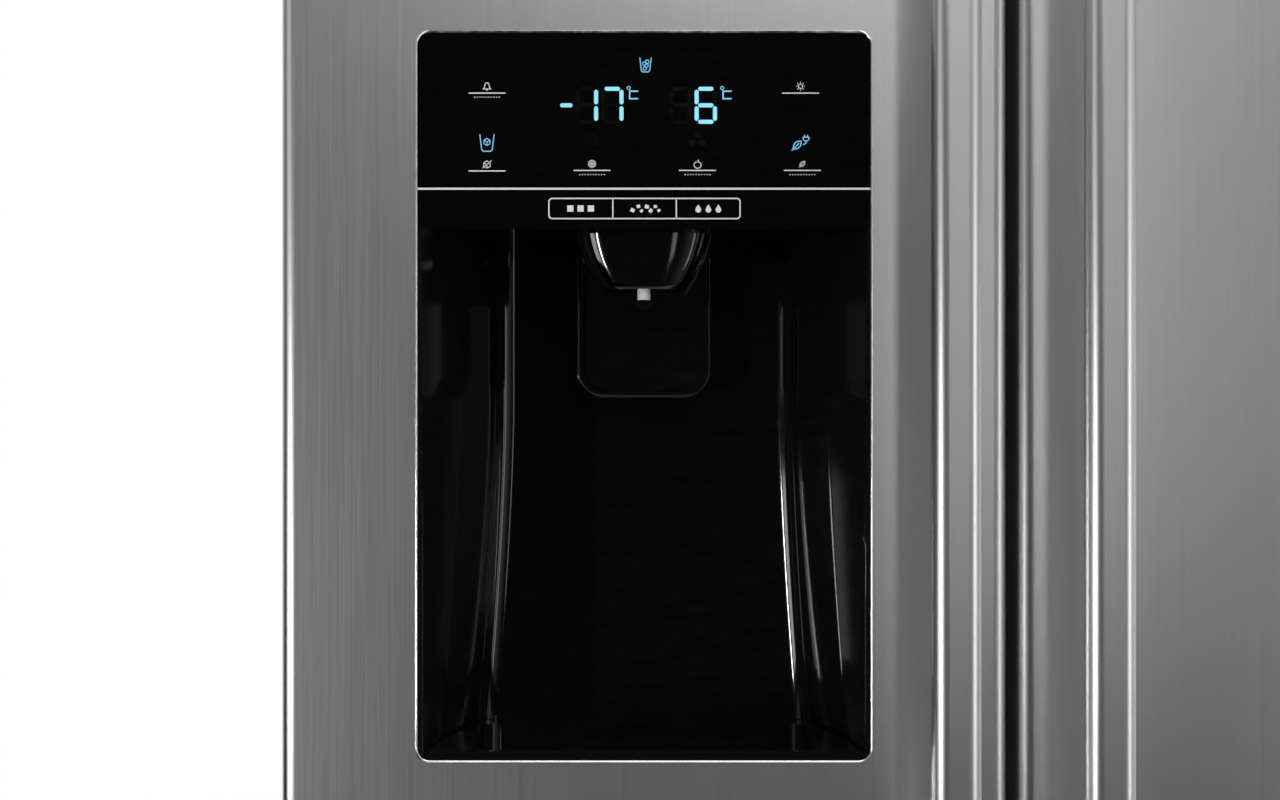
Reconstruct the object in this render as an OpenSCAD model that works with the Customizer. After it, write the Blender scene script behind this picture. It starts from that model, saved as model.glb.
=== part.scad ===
// Side by side refrigerator with an ice and water dispenser in the freezer door.
// Front is -Y, the freezer stands at -X, Z is up and the feet rest on z = 0.

/* [Cabinet] */
// Width of the cabinet across its side panels
case_w = 908; // [880:2:940]
// Height of the cabinet top above the floor
case_h = 1745; // [1720:5:1790]
// Depth of the cabinet without its doors
case_d = 600; // [580:5:640]
// Height of the cabinet underside above the floor
base_h = 50; // [48:1:56]
// Thickness of the painted steel sheet
sheet_t = 1.2; // [0.8:0.1:1.6]
// Thickness of the insulated side and top walls
wall_t = 50; // [46:1:56]
// Thickness of the insulated back wall
back_t = 60; // [54:1:66]
// Thickness of the insulated cabinet floor
floor_t = 62; // [56:1:70]
// Thickness of the insulated wall between the compartments
mullion_t = 60; // [54:1:66]
// Thickness of the moulded liners
liner_t = 2; // [1.5:0.5:2.5]
// Corner radius of the liners
liner_r = 24; // [16:1:30]
// Outer corner radius of the cabinet wrapper
case_r = 4; // [3:1:8]

/* [Machine compartment] */
// Height of the machine compartment above the cabinet underside
machine_h = 240; // [230:5:260]
// Depth of the machine compartment from the back of the cabinet
machine_d = 216; // [206:2:230]
// Radius of the compressor shell
compressor_r = 78; // [70:1:84]
// Height of the compressor shell
compressor_h = 176; // [160:2:190]
// Radius swept by the blades of both fans
fan_r = 52; // [44:1:56]
// Number of blades on each fan
blade_n = 5; // [3:1:7]
// Radius of a transport roller
roller_r = 21; // [18:1:24]
// Radius of a levelling foot's threaded stem
stem_r = 5; // [4:0.5:6]
// Outer radius of the threaded water inlet
inlet_r = 13.2; // [12:0.1:14]

/* [Doors] */
// Width of the freezer door
freezer_w = 398; // [380:2:420]
// Gap between the two doors
door_gap = 6; // [4:1:8]
// Thickness of the doors
door_t = 70; // [64:1:80]
// Height of the door bottoms above the floor
door_z = 80; // [78:1:90]
// Edge radius of the door fronts
door_r = 8; // [5:1:12]
// Thickness of the compressed door gasket
seal_t = 10; // [9:1:12]
// Height of the moulded cap at each end of a door
cap_h = 22; // [20:1:30]
// Distance of the hinge pins from the side of the cabinet
hinge_in = 20; // [18:1:22]
// Distance of the hinge pins behind the door fronts
hinge_back = 25; // [23:1:30]
// Radius of the hinge pins
hinge_r = 5; // [4:0.5:6]
// Radial clearance of pins that turn in their bores
run_gap = 0.05; // [0.02:0.01:0.1]
// Height of the moulded ribs on the inner face of a door
dyke_d = 30; // [24:1:34]
// Depth of the door bins
bin_d = 80; // [70:1:84]
// Height of the door bins
bin_h = 96; // [80:2:120]

/* [Handles] */
// Length of the handle bars
handle_l = 840; // [700:10:1000]
// Width of the handle bars
handle_w = 26; // [20:1:28]
// Thickness of the handle bars
handle_t = 18; // [14:1:22]
// Distance from a door front to the front of its handle
handle_out = 54; // [48:1:64]
// Distance from a door's inner edge to the middle of its handle
handle_in = 37; // [34:1:44]
// Height of the middle of the handles above the middle of the doors
handle_up = 189; // [100:1:250]

/* [Dispenser] */
// Width of the dispenser
disp_w = 250; // [240:2:260]
// Height of the dispenser
disp_h = 400; // [390:2:410]
// Distance of the dispenser's top edge below the cabinet top
disp_drop = 415; // [400:5:450]
// Corner radius of the dispenser's outline
disp_r = 8; // [6:1:12]
// Width of the bright edge strip round the dispenser
trim_w = 1.4; // [1:0.2:2]
// How far the bright edge strip stands in front of the door
trim_out = 1; // [0.6:0.1:1.6]
// Height of the touch panel
panel_h = 108.6; // [104:0.2:114]
// Thickness of the touch panel
panel_t = 4; // [3:0.5:5]
// Height of the dark strip of the panel below the bright line
strip_h = 21.3; // [18:0.1:24]
// Height of the bright line
line_h = 1.1; // [0.8:0.1:1.6]
// Depth of the alcove
alcove_d = 98; // [92:1:100]
// Half width of the alcove's back wall at the top
back_half_top = 87; // [82:1:92]
// Half width of the alcove's back wall at the bottom
back_half_bottom = 98; // [93:1:102]
// Half width at the bend of the side walls at the top
bend_half_top = 106; // [102:1:110]
// Half width at the bend of the side walls at the bottom
bend_half_bottom = 117; // [112:1:119]
// Depth of the bend of the side walls
bend_d = 36; // [30:1:44]
// Wall thickness of the alcove moulding
alcove_t = 2.4; // [1.8:0.2:3]
// Width of the gloss rim in front of the alcove
rim_w = 2.2; // [1.6:0.2:3]
// Half width of the ice chute's mouth
mouth_r = 24.5; // [22:0.5:27]
// Half width of the ice chute at the top
chute_r = 38.5; // [36:0.5:42]
// Height of the ice chute
chute_h = 31; // [28:1:36]
// Distance of the chute's axis behind the door front
chute_d = 46; // [44:1:50]
// Wall thickness of the ice chute
chute_t = 2; // [1.6:0.2:2.6]
// Outer radius of the water nozzle
nozzle_r = 3.6; // [3:0.2:4.4]
// How far the nozzle reaches below the chute
nozzle_drop = 6; // [4:1:8]
// Width of the lever pad
pad_w = 79; // [72:1:84]
// Height of the lever pad below its pivot
pad_h = 83; // [76:1:88]
// Corner radius of the lever pad
pad_r = 16; // [12:1:20]
// Distance of the lever pad behind the door front
pad_d = 76; // [75:1:78]
// Thickness of the drip tray
tray_h = 13; // [10:1:16]

/* [Inside] */
// Thickness of the glass shelves
glass_t = 4; // [3:1:5]
// Wall thickness of drawers, bins and buckets
bin_t = 2.5; // [2:0.5:3.5]
// Clearance between moving drawers and the liner
slide_gap = 3; // [2:0.5:4]
// Distance from the door bins to the drawers behind them
reach_gap = 35; // [30:1:40]
// Height of the shelf above the drawers
first_shelf = 600; // [590:5:640]
// Height of the lowest door bins
first_bin = 150; // [130:5:200]
// Width of the ice bucket
bucket_w = 192; // [180:2:220]
// Length of the ice maker's tray
tray_l = 220; // [200:5:240]
// Width of the ice maker's tray
tray_w = 80; // [70:2:86]
// Distance of the ice maker's tray below the top of the compartment
tray_drop = 75; // [70:1:90]
// Radius of the ice auger
auger_r = 24; // [20:1:28]
// Number of turns of the ice auger
auger_n = 6; // [4:1:8]

/* [Hidden] */
$fn = 48;

// Overshoot of cuts, and the clearance of parts that nearly touch
cut = 1;
near = 0.3;
fit = 0.4;

// Depth planes, from the front of the handles to the back of the cabinet
total_d = handle_out + door_t + seal_t + case_d;
handle_y = -total_d / 2;
front_y = handle_y + handle_out;
door_y = front_y + door_t;
case_y = door_y + seal_t;
back_y = case_y + case_d;

// Widths
side_x = case_w / 2;
split_x = -side_x + freezer_w + door_gap / 2;
freezer_door_x = [-side_x, split_x - door_gap / 2];
fridge_door_x = [split_x + door_gap / 2, side_x];
freezer_x = [-side_x + wall_t, split_x - mullion_t / 2];
fridge_x = [split_x + mullion_t / 2, side_x - wall_t];
hinge_x = side_x - hinge_in;
mullion_x = [freezer_x[1] + liner_t, fridge_x[0] - liner_t];
hinge_y = front_y + hinge_back;

// Heights
top_gap = 3;
door_top = case_h - top_gap;
room_z = [base_h + floor_t, case_h - wall_t];
room_back = back_y - back_t;
machine_y = back_y - machine_d;
machine_z = base_h + machine_h;
step_t = 60;
step_y = machine_y - step_t;
step_z = machine_z + step_t;

// Dispenser
disp_x = (freezer_door_x[0] + freezer_door_x[1]) / 2;
disp_top = case_h - disp_drop;
disp_z = disp_top - disp_h;
alcove_top = disp_top - panel_h;
alcove_floor = disp_z + trim_w + rim_w;
panel_y = front_y - trim_out / 2;
bulge_t = 34;
bulge_side = 18;
bulge_y = front_y + alcove_d + bulge_t;
bulge_top = disp_top + 72;
bulge_z = disp_z - 30;
duct_half = 34;

// Heights of the shelf tops and of the bins, spread evenly
function spread(a, b, n) = [for (k = [0:n - 1]) a + k * (b - a) / n];
ice_shelf = bulge_top + glass_t + 4;
freezer_shelves = concat(spread(first_shelf, ice_shelf, 3), [ice_shelf]);
fridge_shelves = spread(first_shelf, room_z[1], 4);
freezer_bin_z = spread(first_bin, bulge_z, 3);
fridge_bin_z = spread(first_bin, room_z[1], 5);
drawer_y = door_y + bin_d + reach_gap;
shelf_y = drawer_y + 12;
ledge_w = 10;
ledge_h = 6;

// Space behind the freezer's back cover, and depth of the fridge's air tower
fan_room = 62;
tower_t = 26;

// Plain helpers

// Block between two corners
module block(x, y, z) translate([x[0], y[0], z[0]]) cube([x[1] - x[0], y[1] - y[0], z[1] - z[0]]);

// Extrude an outline drawn in X and Z from y[0] to y[1]
module along_y(y) translate([0, y[1], 0]) rotate([90, 0, 0]) linear_extrude(y[1] - y[0]) children();

// Extrude an outline drawn in Y and Z from x[0] to x[1]
module along_x(x) translate([x[0], 0, 0]) rotate([90, 0, 90]) linear_extrude(x[1] - x[0]) children();

// Extrude an outline drawn in X and Y from z[0] to z[1]
module along_z(z) translate([0, 0, z[0]]) linear_extrude(z[1] - z[0]) children();

// Rectangle between two corners with round corners
module pad(a, b, r) {
    translate([a[0] + r, b[0]]) square([a[1] - a[0] - 2 * r, b[1] - b[0]]);
    translate([a[0], b[0] + r]) square([a[1] - a[0], b[1] - b[0] - 2 * r]);
    for (u = [a[0] + r, a[1] - r], v = [b[0] + r, b[1] - r]) translate([u, v]) circle(r);
}

// Cylinder along Y, along X, or upright, between two planes
module rod_y(x, z, r, y) translate([x, y[1], z]) rotate([90, 0, 0]) cylinder(h = y[1] - y[0], r = r);
module rod_x(y, z, r, x) translate([x[0], y, z]) rotate([0, 90, 0]) cylinder(h = x[1] - x[0], r = r);
module rod_z(x, y, r, z) translate([x, y, z[0]]) cylinder(h = z[1] - z[0], r = r);

function grow(a, d) = [a[0] - d, a[1] + d];
function from(v, a, b) = [v + a, v + b];

// Cabinet

// The space of one compartment, larger all round by g
module room(x, g = 0) intersection() {
    along_x(grow(x, g)) polygon([
        [case_y - cut, room_z[0] - g], [step_y + g / 2, room_z[0] - g],
        [step_y + step_t / 2 + g, step_z - g], [room_back + g, step_z - g],
        [room_back + g, room_z[1] + g], [case_y - cut, room_z[1] + g]
    ]);
    along_y([case_y - 2 * cut, back_y]) pad(grow(x, g), grow(room_z, g), liner_r + g);
}

module machine_space() block([-side_x + wall_t / 2, side_x - wall_t / 2], [machine_y, back_y + cut],
    [base_h - cut, machine_z]);

module cabinet_shell() color("#8d9093") difference() {
    along_y([case_y, back_y - sheet_t]) difference() {
        pad([-side_x, side_x], [base_h, case_h], case_r);
        pad([-side_x + sheet_t, side_x - sheet_t], [base_h - 2 * case_r, case_h - sheet_t], case_r);
        translate([-side_x + sheet_t, base_h - cut]) square([case_w - 2 * sheet_t, 4 * case_r]);
    }
    translate([0, 0, base_h - cut]) linear_extrude(cut) square([2 * case_w, 2 * total_d], center = true);
}

module rear_panel() color("#9a9d9f") difference() {
    block([-side_x + case_r, side_x - case_r], [back_y - sheet_t, back_y], [machine_z, case_h - case_r]);
    for (k = [1:6]) block([-side_x + wall_t, side_x - wall_t], [back_y - sheet_t / 3, back_y + cut],
        from(machine_z + k * (case_h - machine_z) / 7, 0, 6));
}

// Space within the wrapper over a stretch of its depth
module inside_shell(y) intersection() {
    along_y(y) pad([-side_x + sheet_t, side_x - sheet_t], [base_h - 2 * case_r, case_h - sheet_t], case_r);
    block([-side_x, side_x], y, [base_h, case_h]);
}

module cabinet_foam() color("#e9dfb6") difference() {
    inside_shell([case_y + liner_t, back_y - sheet_t]);
    room(freezer_x, liner_t);
    room(fridge_x, liner_t);
    machine_space();
}

// Moulded liner of one compartment with its front flange and shelf ledges
module liner(x, edge, shelves, behind) color("#eceeef") difference() {
    union() {
        intersection() {
            room(x, liner_t);
            block([-side_x, side_x], [case_y, back_y], [base_h, case_h]);
        }
        intersection() {
            block(edge, [case_y, case_y + liner_t], [base_h, case_h]);
            inside_shell([case_y - cut, back_y]);
        }
    }
    difference() {
        room(x);
        for (z = shelves, s = [0, 1])
            block([x[s] - s * ledge_w - (1 - s) * cut, x[s] + (1 - s) * ledge_w + s * cut],
                [shelf_y, room_back - behind], [z - glass_t - ledge_h, z - glass_t]);
    }
}

module freezer_liner() liner(freezer_x, [-side_x + sheet_t, mullion_x[0]], freezer_shelves, fan_room);
module fridge_liner() liner(fridge_x, [mullion_x[1], side_x - sheet_t], fridge_shelves, tower_t);

module mullion_cover() color("#c9cccd")
    block(mullion_x, [case_y, case_y + liner_t], [base_h, case_h - sheet_t]);

// Base and machine compartment

rail_w = 40;
rail_t = 3;
rail_z = 12;
rail_in = 6;
rail_y = [case_y + rail_in, back_y - rail_in];
beam_w = 36;
beam_h = 26;
beam_y = [rail_y[0], machine_y - 30];
roller_y = back_y - 60;
foot_y = case_y + 34;
foot_x = side_x - rail_in - rail_w / 2;
axle_r = 4;
roller_w = 22;
nut_h = 20;

// Inverted channel under one side, with the foot's nut and the roller's riveted axle
module rail(s) {
    x = [s * foot_x - rail_w / 2, s * foot_x + rail_w / 2];
    difference() {
        block(x, rail_y, [rail_z, base_h]);
        block(grow(x, -rail_t), grow(rail_y, -rail_t), [rail_z - cut, base_h - rail_t]);
    }
    difference() {
        block(grow(x, -rail_t), [foot_y - 16, foot_y + 16], [base_h - rail_t - nut_h, base_h - rail_t]);
        rod_z(s * foot_x, foot_y, stem_r + run_gap, [0, base_h - rail_t - cut]);
    }
    rod_x(roller_y, roller_r, axle_r, grow(x, -rail_t / 2));
}

module base_frame() color("#7c8083") {
    for (s = [-1, 1]) rail(s);
    inner = foot_x - rail_w / 2;
    for (y = beam_y) difference() {
        block([-inner, inner], from(y, 0, beam_w), [base_h - beam_h, base_h]);
        block([-inner - cut, inner + cut], from(y, rail_t, beam_w - rail_t),
            [base_h - beam_h - cut, base_h - rail_t]);
    }
    block([-inner, inner], [beam_y[1] + beam_w, rail_y[1]], [base_h - rail_t, base_h]);
    block([-inner, inner], [beam_y[0] + beam_w, beam_y[1]], [base_h - sheet_t, base_h]);
}

module rear_rollers() color("#2b2c2e") for (s = [-1, 1]) difference() {
    roller(s * foot_x);
    rod_x(roller_y, roller_r, axle_r + run_gap, grow([s * foot_x, s * foot_x], roller_w));
}

// One crowned roller
module roller(x) translate([x, roller_y, roller_r]) rotate([0, 90, 0])
    rotate_extrude() intersection() {
    pad([-roller_r, roller_r], [-roller_w / 2, roller_w / 2], 4);
    translate([0, -roller_w]) square([roller_r, 2 * roller_w]);
}

module foot(s) color("#3a3c3e") translate([s * foot_x, foot_y, 0]) {
    rotate_extrude() intersection() {
        pad([-17, 17], [0, 8], 2);
        square([17, 8]);
    }
    translate([0, 0, 7]) cylinder(h = 7, r = 9, $fn = 6);
    cylinder(h = base_h - rail_t - cut - 2, r = stem_r);
}
module foot_left() foot(-1);
module foot_right() foot(1);

machine_mid = (machine_y + back_y) / 2;
compressor_x = -230;
mount_h = 14;

module compressor() color("#1d1e20") translate([compressor_x, machine_mid, base_h]) {
    translate([0, 0, mount_h]) {
        rotate_extrude() intersection() {
            pad([-compressor_r, compressor_r], [3, compressor_h], 34);
            square([compressor_r, compressor_h]);
        }
        linear_extrude(4) pad([-92, 92], [-58, 58], 10);
        rod_z(0, compressor_r - 20, 5, [compressor_h - 30, compressor_h + 22]);
        rod_z(30, compressor_r - 30, 4, [compressor_h - 30, compressor_h + 12]);
        translate([compressor_r - 12, -24, 60]) cube([26, 48, 56]);
    }
    for (x = [-78, 78], y = [-44, 44]) rod_z(x, y, 11, [0, mount_h]);
}

condenser_x = [70, 260];
coil_pitch = 34;

// Finned coil: tubes along X through thin fins
module coil(x, y, z, pitch, fin_n, fin_t, tube_r) {
    step = (x[1] - x[0] - fin_t) / (fin_n - 1);
    for (k = [0:fin_n - 1]) block(from(x[0] + k * step, 0, fin_t), y, z);
    for (v = [z[0] + pitch / 2:pitch:z[1] - pitch / 3], u = [0.3, 0.7])
        rod_x(y[0] + u * (y[1] - y[0]), v, tube_r, grow(x, 8));
}

module condenser() color("#4a4d50") {
    coil(condenser_x, grow([machine_mid, machine_mid], 70), [base_h + 20, machine_z - 30], coil_pitch,
        16, 1, 4);
    for (x = [condenser_x[0] - 4, condenser_x[1] + 3])
        block([x, x + 1], [machine_mid - 74, machine_mid + 74], [base_h, machine_z - 26]);
}

shaft_r = 2.5;
hub_h = 20;
motor_h = 34;
fan_hole = fan_r + 4;

// Axial fan round Z with its hub on z = 0
module fan() difference() {
    union() {
        cylinder(h = hub_h, r = 15);
        for (k = [1:blade_n]) rotate(k * 360 / blade_n) intersection() {
            translate([0, -16, hub_h / 2]) rotate([28, 0, 0]) translate([8, -16, -1]) cube([fan_r, 36, 2]);
            translate([0, 0, 1]) cylinder(h = hub_h - 2, r = fan_r);
        }
    }
    translate([0, 0, -cut]) cylinder(h = hub_h - 2, r = shaft_r + run_gap);
}

// Motor behind a fan, its shaft in the fan's hub, with the bracket that carries it
module fan_motor() {
    translate([0, 0, -motor_h - near]) cylinder(h = motor_h, r = 19);
    translate([0, 0, -near - 2]) cylinder(h = hub_h - 4, r = shaft_r);
    difference() {
        translate([-fan_r - 10, -fan_r - 10, -motor_h - near]) cube([2 * fan_r + 20, 2 * fan_r + 20, 2]);
        translate([0, 0, -motor_h - near - cut]) cylinder(h = 4, r = fan_r);
    }
    for (a = [0:3]) rotate(45 + 90 * a)
        translate([12, -4, -motor_h - near]) cube([fan_r, 8, 3]);
}

cond_fan_x = condenser_x[0] - 40;
fan_z = (base_h + machine_z) / 2 + 4;
evap_z = [step_z + 80, step_z + 350];
evap_fan_z = evap_z[1] + 100;
freezer_mid = (freezer_x[0] + freezer_x[1]) / 2;
fridge_mid = (fridge_x[0] + fridge_x[1]) / 2;

module at_condenser_fan() translate([cond_fan_x, machine_mid, fan_z]) rotate([0, 90, 0]) children();
module at_evaporator_fan() translate([freezer_mid, room_back - 2 * near - motor_short, evap_fan_z])
    rotate([90, 0, 0]) children();

module fan_motors() color("#55585b") {
    at_condenser_fan() fan_motor();
    translate([cond_fan_x - motor_h - near, machine_mid - fan_r, base_h])
        cube([2, 2 * fan_r, fan_z - fan_r - base_h]);
    at_evaporator_fan() short_motor();
}
motor_short = 14;
module short_motor() {
    translate([0, 0, -motor_short - 2 * near]) cylinder(h = motor_short + near, r = 24);
    translate([0, 0, -near - 2]) cylinder(h = hub_h - 4, r = shaft_r);
}
module condenser_fan() color("#2f3133") at_condenser_fan() fan();
module evaporator_fan() color("#d8dadb") at_evaporator_fan() fan();

module drain_pan() color("#e4e5e6") difference() {
    x = [compressor_x + 100, cond_fan_x - motor_h - 10];
    along_z([base_h, base_h + 26]) pad(x, grow([machine_mid, machine_mid], 60), 8);
    along_z([base_h + 2, base_h + 30]) pad(grow(x, -2), grow([machine_mid, machine_mid], 58), 6);
}

inlet_x = side_x - 92;
inlet_z = base_h + 52;
inlet_l = 16;

module machine_cover() color("#9a9d9f") difference() {
    block(grow([-side_x, side_x], 8 - wall_t / 2), [back_y - sheet_t, back_y], [base_h, machine_z]);
    for (x = [-340:20:300], z = [base_h + 60, base_h + 140])
        along_y([back_y - 3, back_y + cut]) pad([x, x + 8], [z, z + 62], 3.9);
    rod_y(inlet_x, inlet_z, 22, [back_y - 3, back_y + cut]);
}

module water_valve() color("#f0f0ee") {
    block(grow([inlet_x, inlet_x], 24), [back_y - 76, back_y - inlet_l - sheet_t],
        grow([inlet_z, inlet_z], 22));
    rod_y(inlet_x, inlet_z, 20, [back_y - inlet_l - sheet_t - cut, back_y - inlet_l + 1]);
    difference() {
        rod_y(inlet_x, inlet_z, inlet_r, [back_y - inlet_l, back_y - near]);
        rod_y(inlet_x, inlet_z, 7, [back_y - inlet_l - 20, back_y + cut]);
    }
    rod_z(inlet_x - 10, back_y - 50, 14, [inlet_z + 20, inlet_z + 52]);
    rod_z(inlet_x + 10, back_y - 36, 6, [base_h, inlet_z - 20]);
}

kick_x = [-side_x + 62, side_x - 62];
kick_z = [16, door_z - 18];
kick_t = 3;

module kick_plate() color("#3c3e41") difference() {
    block(kick_x, [case_y - 16, case_y - near], kick_z);
    block(grow(kick_x, -kick_t), [case_y - 16 + kick_t, case_y + cut], [kick_z[0] - cut, kick_z[1] - kick_t]);
    for (x = [kick_x[0] + 28:22:kick_x[1] - 34])
        along_y([case_y - 20, case_y - 10]) pad([x, x + 12], grow(kick_z, -10), 2.9);
}

// Hinges

hinge_t = 4;
pin_in = cap_h - 3;
plate_z = door_z - 12;

module bottom_hinge(s) mirror([s < 0 ? 1 : 0, 0, 0]) {
    x = [hinge_x - 34, side_x - 4];
    difference() {
        along_z([plate_z, plate_z + hinge_t]) union() {
            pad(x, [hinge_y - 14, case_y - near], 8);
            translate([x[0], hinge_y]) square([x[1] - x[0], case_y - near - hinge_y]);
        }
        translate([x[0] - cut, front_y - 40, door_z - 20]) cube([20, 24, 20]);
    }
    block(x, [case_y - hinge_t, case_y - near], [base_h + 2, plate_z + cut]);
    rod_z(hinge_x, hinge_y, hinge_r + 4, [plate_z + hinge_t / 2, door_z - near]);
    rod_z(hinge_x, hinge_y, hinge_r, [plate_z, door_z + pin_in]);
}
module bottom_hinges() color("#6f7376") for (s = [-1, 1]) bottom_hinge(s);

module top_hinge(s) mirror([s < 0 ? 1 : 0, 0, 0]) {
    along_z([case_h, case_h + hinge_t]) union() {
        pad([hinge_x - 16, side_x - 6], [hinge_y - 14, case_y + 60], 10);
        pad([hinge_x - 56, side_x - 6], [case_y + 20, case_y + 90], 10);
    }
    rod_z(hinge_x, hinge_y, hinge_r, [door_top - pin_in, case_h + hinge_t]);
    for (x = [hinge_x - 40, hinge_x - 4], y = [case_y + 36, case_y + 74])
        translate([x, y, case_h + hinge_t - cut / 2]) cylinder(h = 5, r = 6.5, $fn = 6);
}
module top_hinges() color("#8a8d90") for (s = [-1, 1]) top_hinge(s);

cover_h = 35;
cover_t = 2.5;

// Outside of a hinge cover, low at the front and inset by g
module cover_form(g) intersection() {
    x = grow([hinge_x - 82, side_x - 1], -g);
    y = grow([front_y + 6, case_y + 120], -g);
    along_z([case_h - (g > 0 ? cut : 0), case_h + cover_h]) pad(x, y, 14 - g);
    along_x(x) polygon([
        [y[0], case_h - cut], [y[1], case_h - cut], [y[1], case_h + cover_h - g - 4],
        [y[1] - 4, case_h + cover_h - g], [y[0] + 54, case_h + cover_h - g],
        [y[0], case_h + 20 - g]
    ]);
}
module hinge_cover(s) mirror([s < 0 ? 1 : 0, 0, 0]) difference() {
    cover_form(0);
    cover_form(cover_t);
}
module hinge_covers() color("#77797c") for (s = [-1, 1]) hinge_cover(s);

// Cooling and air ducts

cover_y = room_back - fan_room;
duct_t = 2;
cover_z = [step_z + 2, ice_shelf - 40];
tube_r = 4;
evap_in = 26;
evap_pitch = 44;

module evaporator() color("#b9bec2")
    coil(grow(freezer_x, -evap_in), [cover_y + 2 * tube_r, room_back - 10], evap_z, evap_pitch,
        22, 1, tube_r);

tower_half = 80;
tower_z = [first_shelf - tower_half, room_z[1] - 55];
vent_h = 10;
vent_pitch = 26;

module air_ducts() color("#e6e9ea") {
    difference() {
        block(grow(freezer_x, -1), [cover_y, cover_y + duct_t], cover_z);
        rod_y(freezer_mid, evap_fan_z, fan_hole, grow([cover_y, cover_y + duct_t], cut));
        for (k = [0:4]) along_y(grow([cover_y, cover_y + duct_t], cut))
            pad(grow([freezer_mid, freezer_mid], tower_half),
                from(freezer_shelves[2] + 2 * vent_pitch + k * vent_pitch, 0, vent_h), vent_h / 2 - 0.1);
    }
    for (s = [0, 1]) block([freezer_x[s] - s * 14 + (1 - s), freezer_x[s] - s + (1 - s) * 14],
        [cover_y + duct_t, room_back], cover_z);
    block(grow(freezer_x, -1), [cover_y + duct_t, room_back], [cover_z[1] - duct_t, cover_z[1]]);
    difference() {
        along_y([room_back - tower_t + 4, room_back])
            pad(grow([fridge_mid, fridge_mid], tower_half), tower_z, 14);
        along_y([room_back - tower_t + 7, room_back - 3])
            pad(grow([fridge_mid, fridge_mid], tower_half - 4), grow(tower_z, -4), 10);
        for (z = fridge_shelves, s = [-1, 1]) along_y([room_back - tower_t, room_back - tower_t + 10])
            pad(from(fridge_mid + s * tower_half / 2, -20, 20), from(z, 50, 64), 6.9);
    }
}

// Ice maker

outlet_l = 39;
tray_d = 30;
tray_z = room_z[1] - tray_drop;
tray_y = [case_y + 113, case_y + 113 + tray_l];
bucket_x = grow([disp_x, disp_x], bucket_w / 2);
bucket_y = [case_y + 1, tray_y[1] + 50];
bucket_h = tray_z - ice_shelf - tray_w / 2 - 24;
auger_z = ice_shelf + bin_t + auger_r + 3;
outlet_y = from(bucket_y[0] + bin_t, 0.5, outlet_l);
trunnion_r = 4;
maker_l = 60;
hanger_w = 60;
hanger_t = 6;

module ice_maker() color("#dfe3e5") difference() {
    union() {
        block(grow([disp_x, disp_x], tray_w / 2 + 8), from(tray_y[1], 3, maker_l),
            [tray_z - tray_w / 2 - 4, room_z[1] - 20]);
        along_y(from(tray_y[0], -hanger_t - 3, -3))
            pad(grow([disp_x, disp_x], hanger_w / 2), [tray_z - 20, room_z[1] - 19], 6);
        block(grow([disp_x, disp_x], hanger_w / 2), [tray_y[0] - hanger_t - 3, tray_y[1] + maker_l],
            [room_z[1] - 25, room_z[1]]);
    }
    rod_y(disp_x, tray_z, trunnion_r + run_gap, [tray_y[0] - 20, tray_y[1] + 14]);
}

module ice_tray() color("#eef1f2") {
    wall = 4;
    pocket_l = (tray_l - wall) / 5;
    pocket_x = (tray_w - wall) / 4;
    difference() {
        along_y(tray_y) pad(grow([disp_x, disp_x], tray_w / 2), from(tray_z, 14 - tray_d, 14), 5);
        for (k = [0:4], s = [-1, 1])
            block(from(disp_x + s * pocket_x, wall / 2 - pocket_x, pocket_x - wall / 2),
                from(tray_y[0] + wall + k * pocket_l, 0, pocket_l - wall),
                [tray_z + 14 - tray_d + wall, tray_z + 15]);
    }
    rod_y(disp_x, tray_z, trunnion_r, [tray_y[0] - 8, tray_y[0] + 2]);
    rod_y(disp_x, tray_z, trunnion_r, [tray_y[1] - 2, tray_y[1] + 13]);
}

module ice_bucket() color("#dfe8ec") difference() {
    block(bucket_x, bucket_y, [ice_shelf, ice_shelf + bucket_h]);
    block(grow(bucket_x, -bin_t), grow(bucket_y, -bin_t), [ice_shelf + bin_t, ice_shelf + bucket_h + cut]);
    block([disp_x - 30, disp_x + 30], outlet_y, [ice_shelf - cut, ice_shelf + 3 * bin_t]);
    rod_y(disp_x, auger_z, shaft_r + 1 + run_gap, grow(bucket_y, cut));
}

module ice_auger() color("#a9aeb2") {
    rod_y(disp_x, auger_z, shaft_r + 1, from(0, bucket_y[0] + near, bucket_y[1] + 2));
    rod_y(disp_x, auger_z, 8, [outlet_y[1], bucket_y[1] - 10]);
    translate([disp_x, bucket_y[1] - 14, auger_z]) rotate([90, 0, 0])
        linear_extrude(bucket_y[1] - 18 - outlet_y[1], twist = -360 * auger_n, slices = 9 * auger_n, $fn = 4)
            translate([0, -1.5]) square([auger_r, 3]);
}

// Shelves and drawers

function shelf_back(k) = room_back - [fan_room, tower_t][k] - near;

module shelf_glass() color([0.75, 0.88, 0.88, 0.5])
    for (k = [0, 1], z = [freezer_shelves, fridge_shelves][k])
        block(grow([freezer_x, fridge_x][k], -1), [shelf_y, shelf_back(k)], [z - glass_t, z]);

module shelf_trims() color("#d5d8da") for (k = [0, 1], z = [freezer_shelves, fridge_shelves][k])
    along_x(grow([freezer_x, fridge_x][k], -1.5))
        pad([shelf_y - 10, shelf_y], [z - glass_t - 12, z], 3);

module lamp_lenses() color("#f6f7f2") for (x = [freezer_mid, fridge_mid])
    along_z([room_z[1] - 7, room_z[1]]) pad([x - 60, x + 60], [case_y + 30, case_y + 64], 6);

drawer_t = 14;
lower_z = [room_z[0] + 6, step_z - 14];
upper_z = [step_z + 6, freezer_shelves[0] - glass_t - ledge_h - 6];

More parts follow.
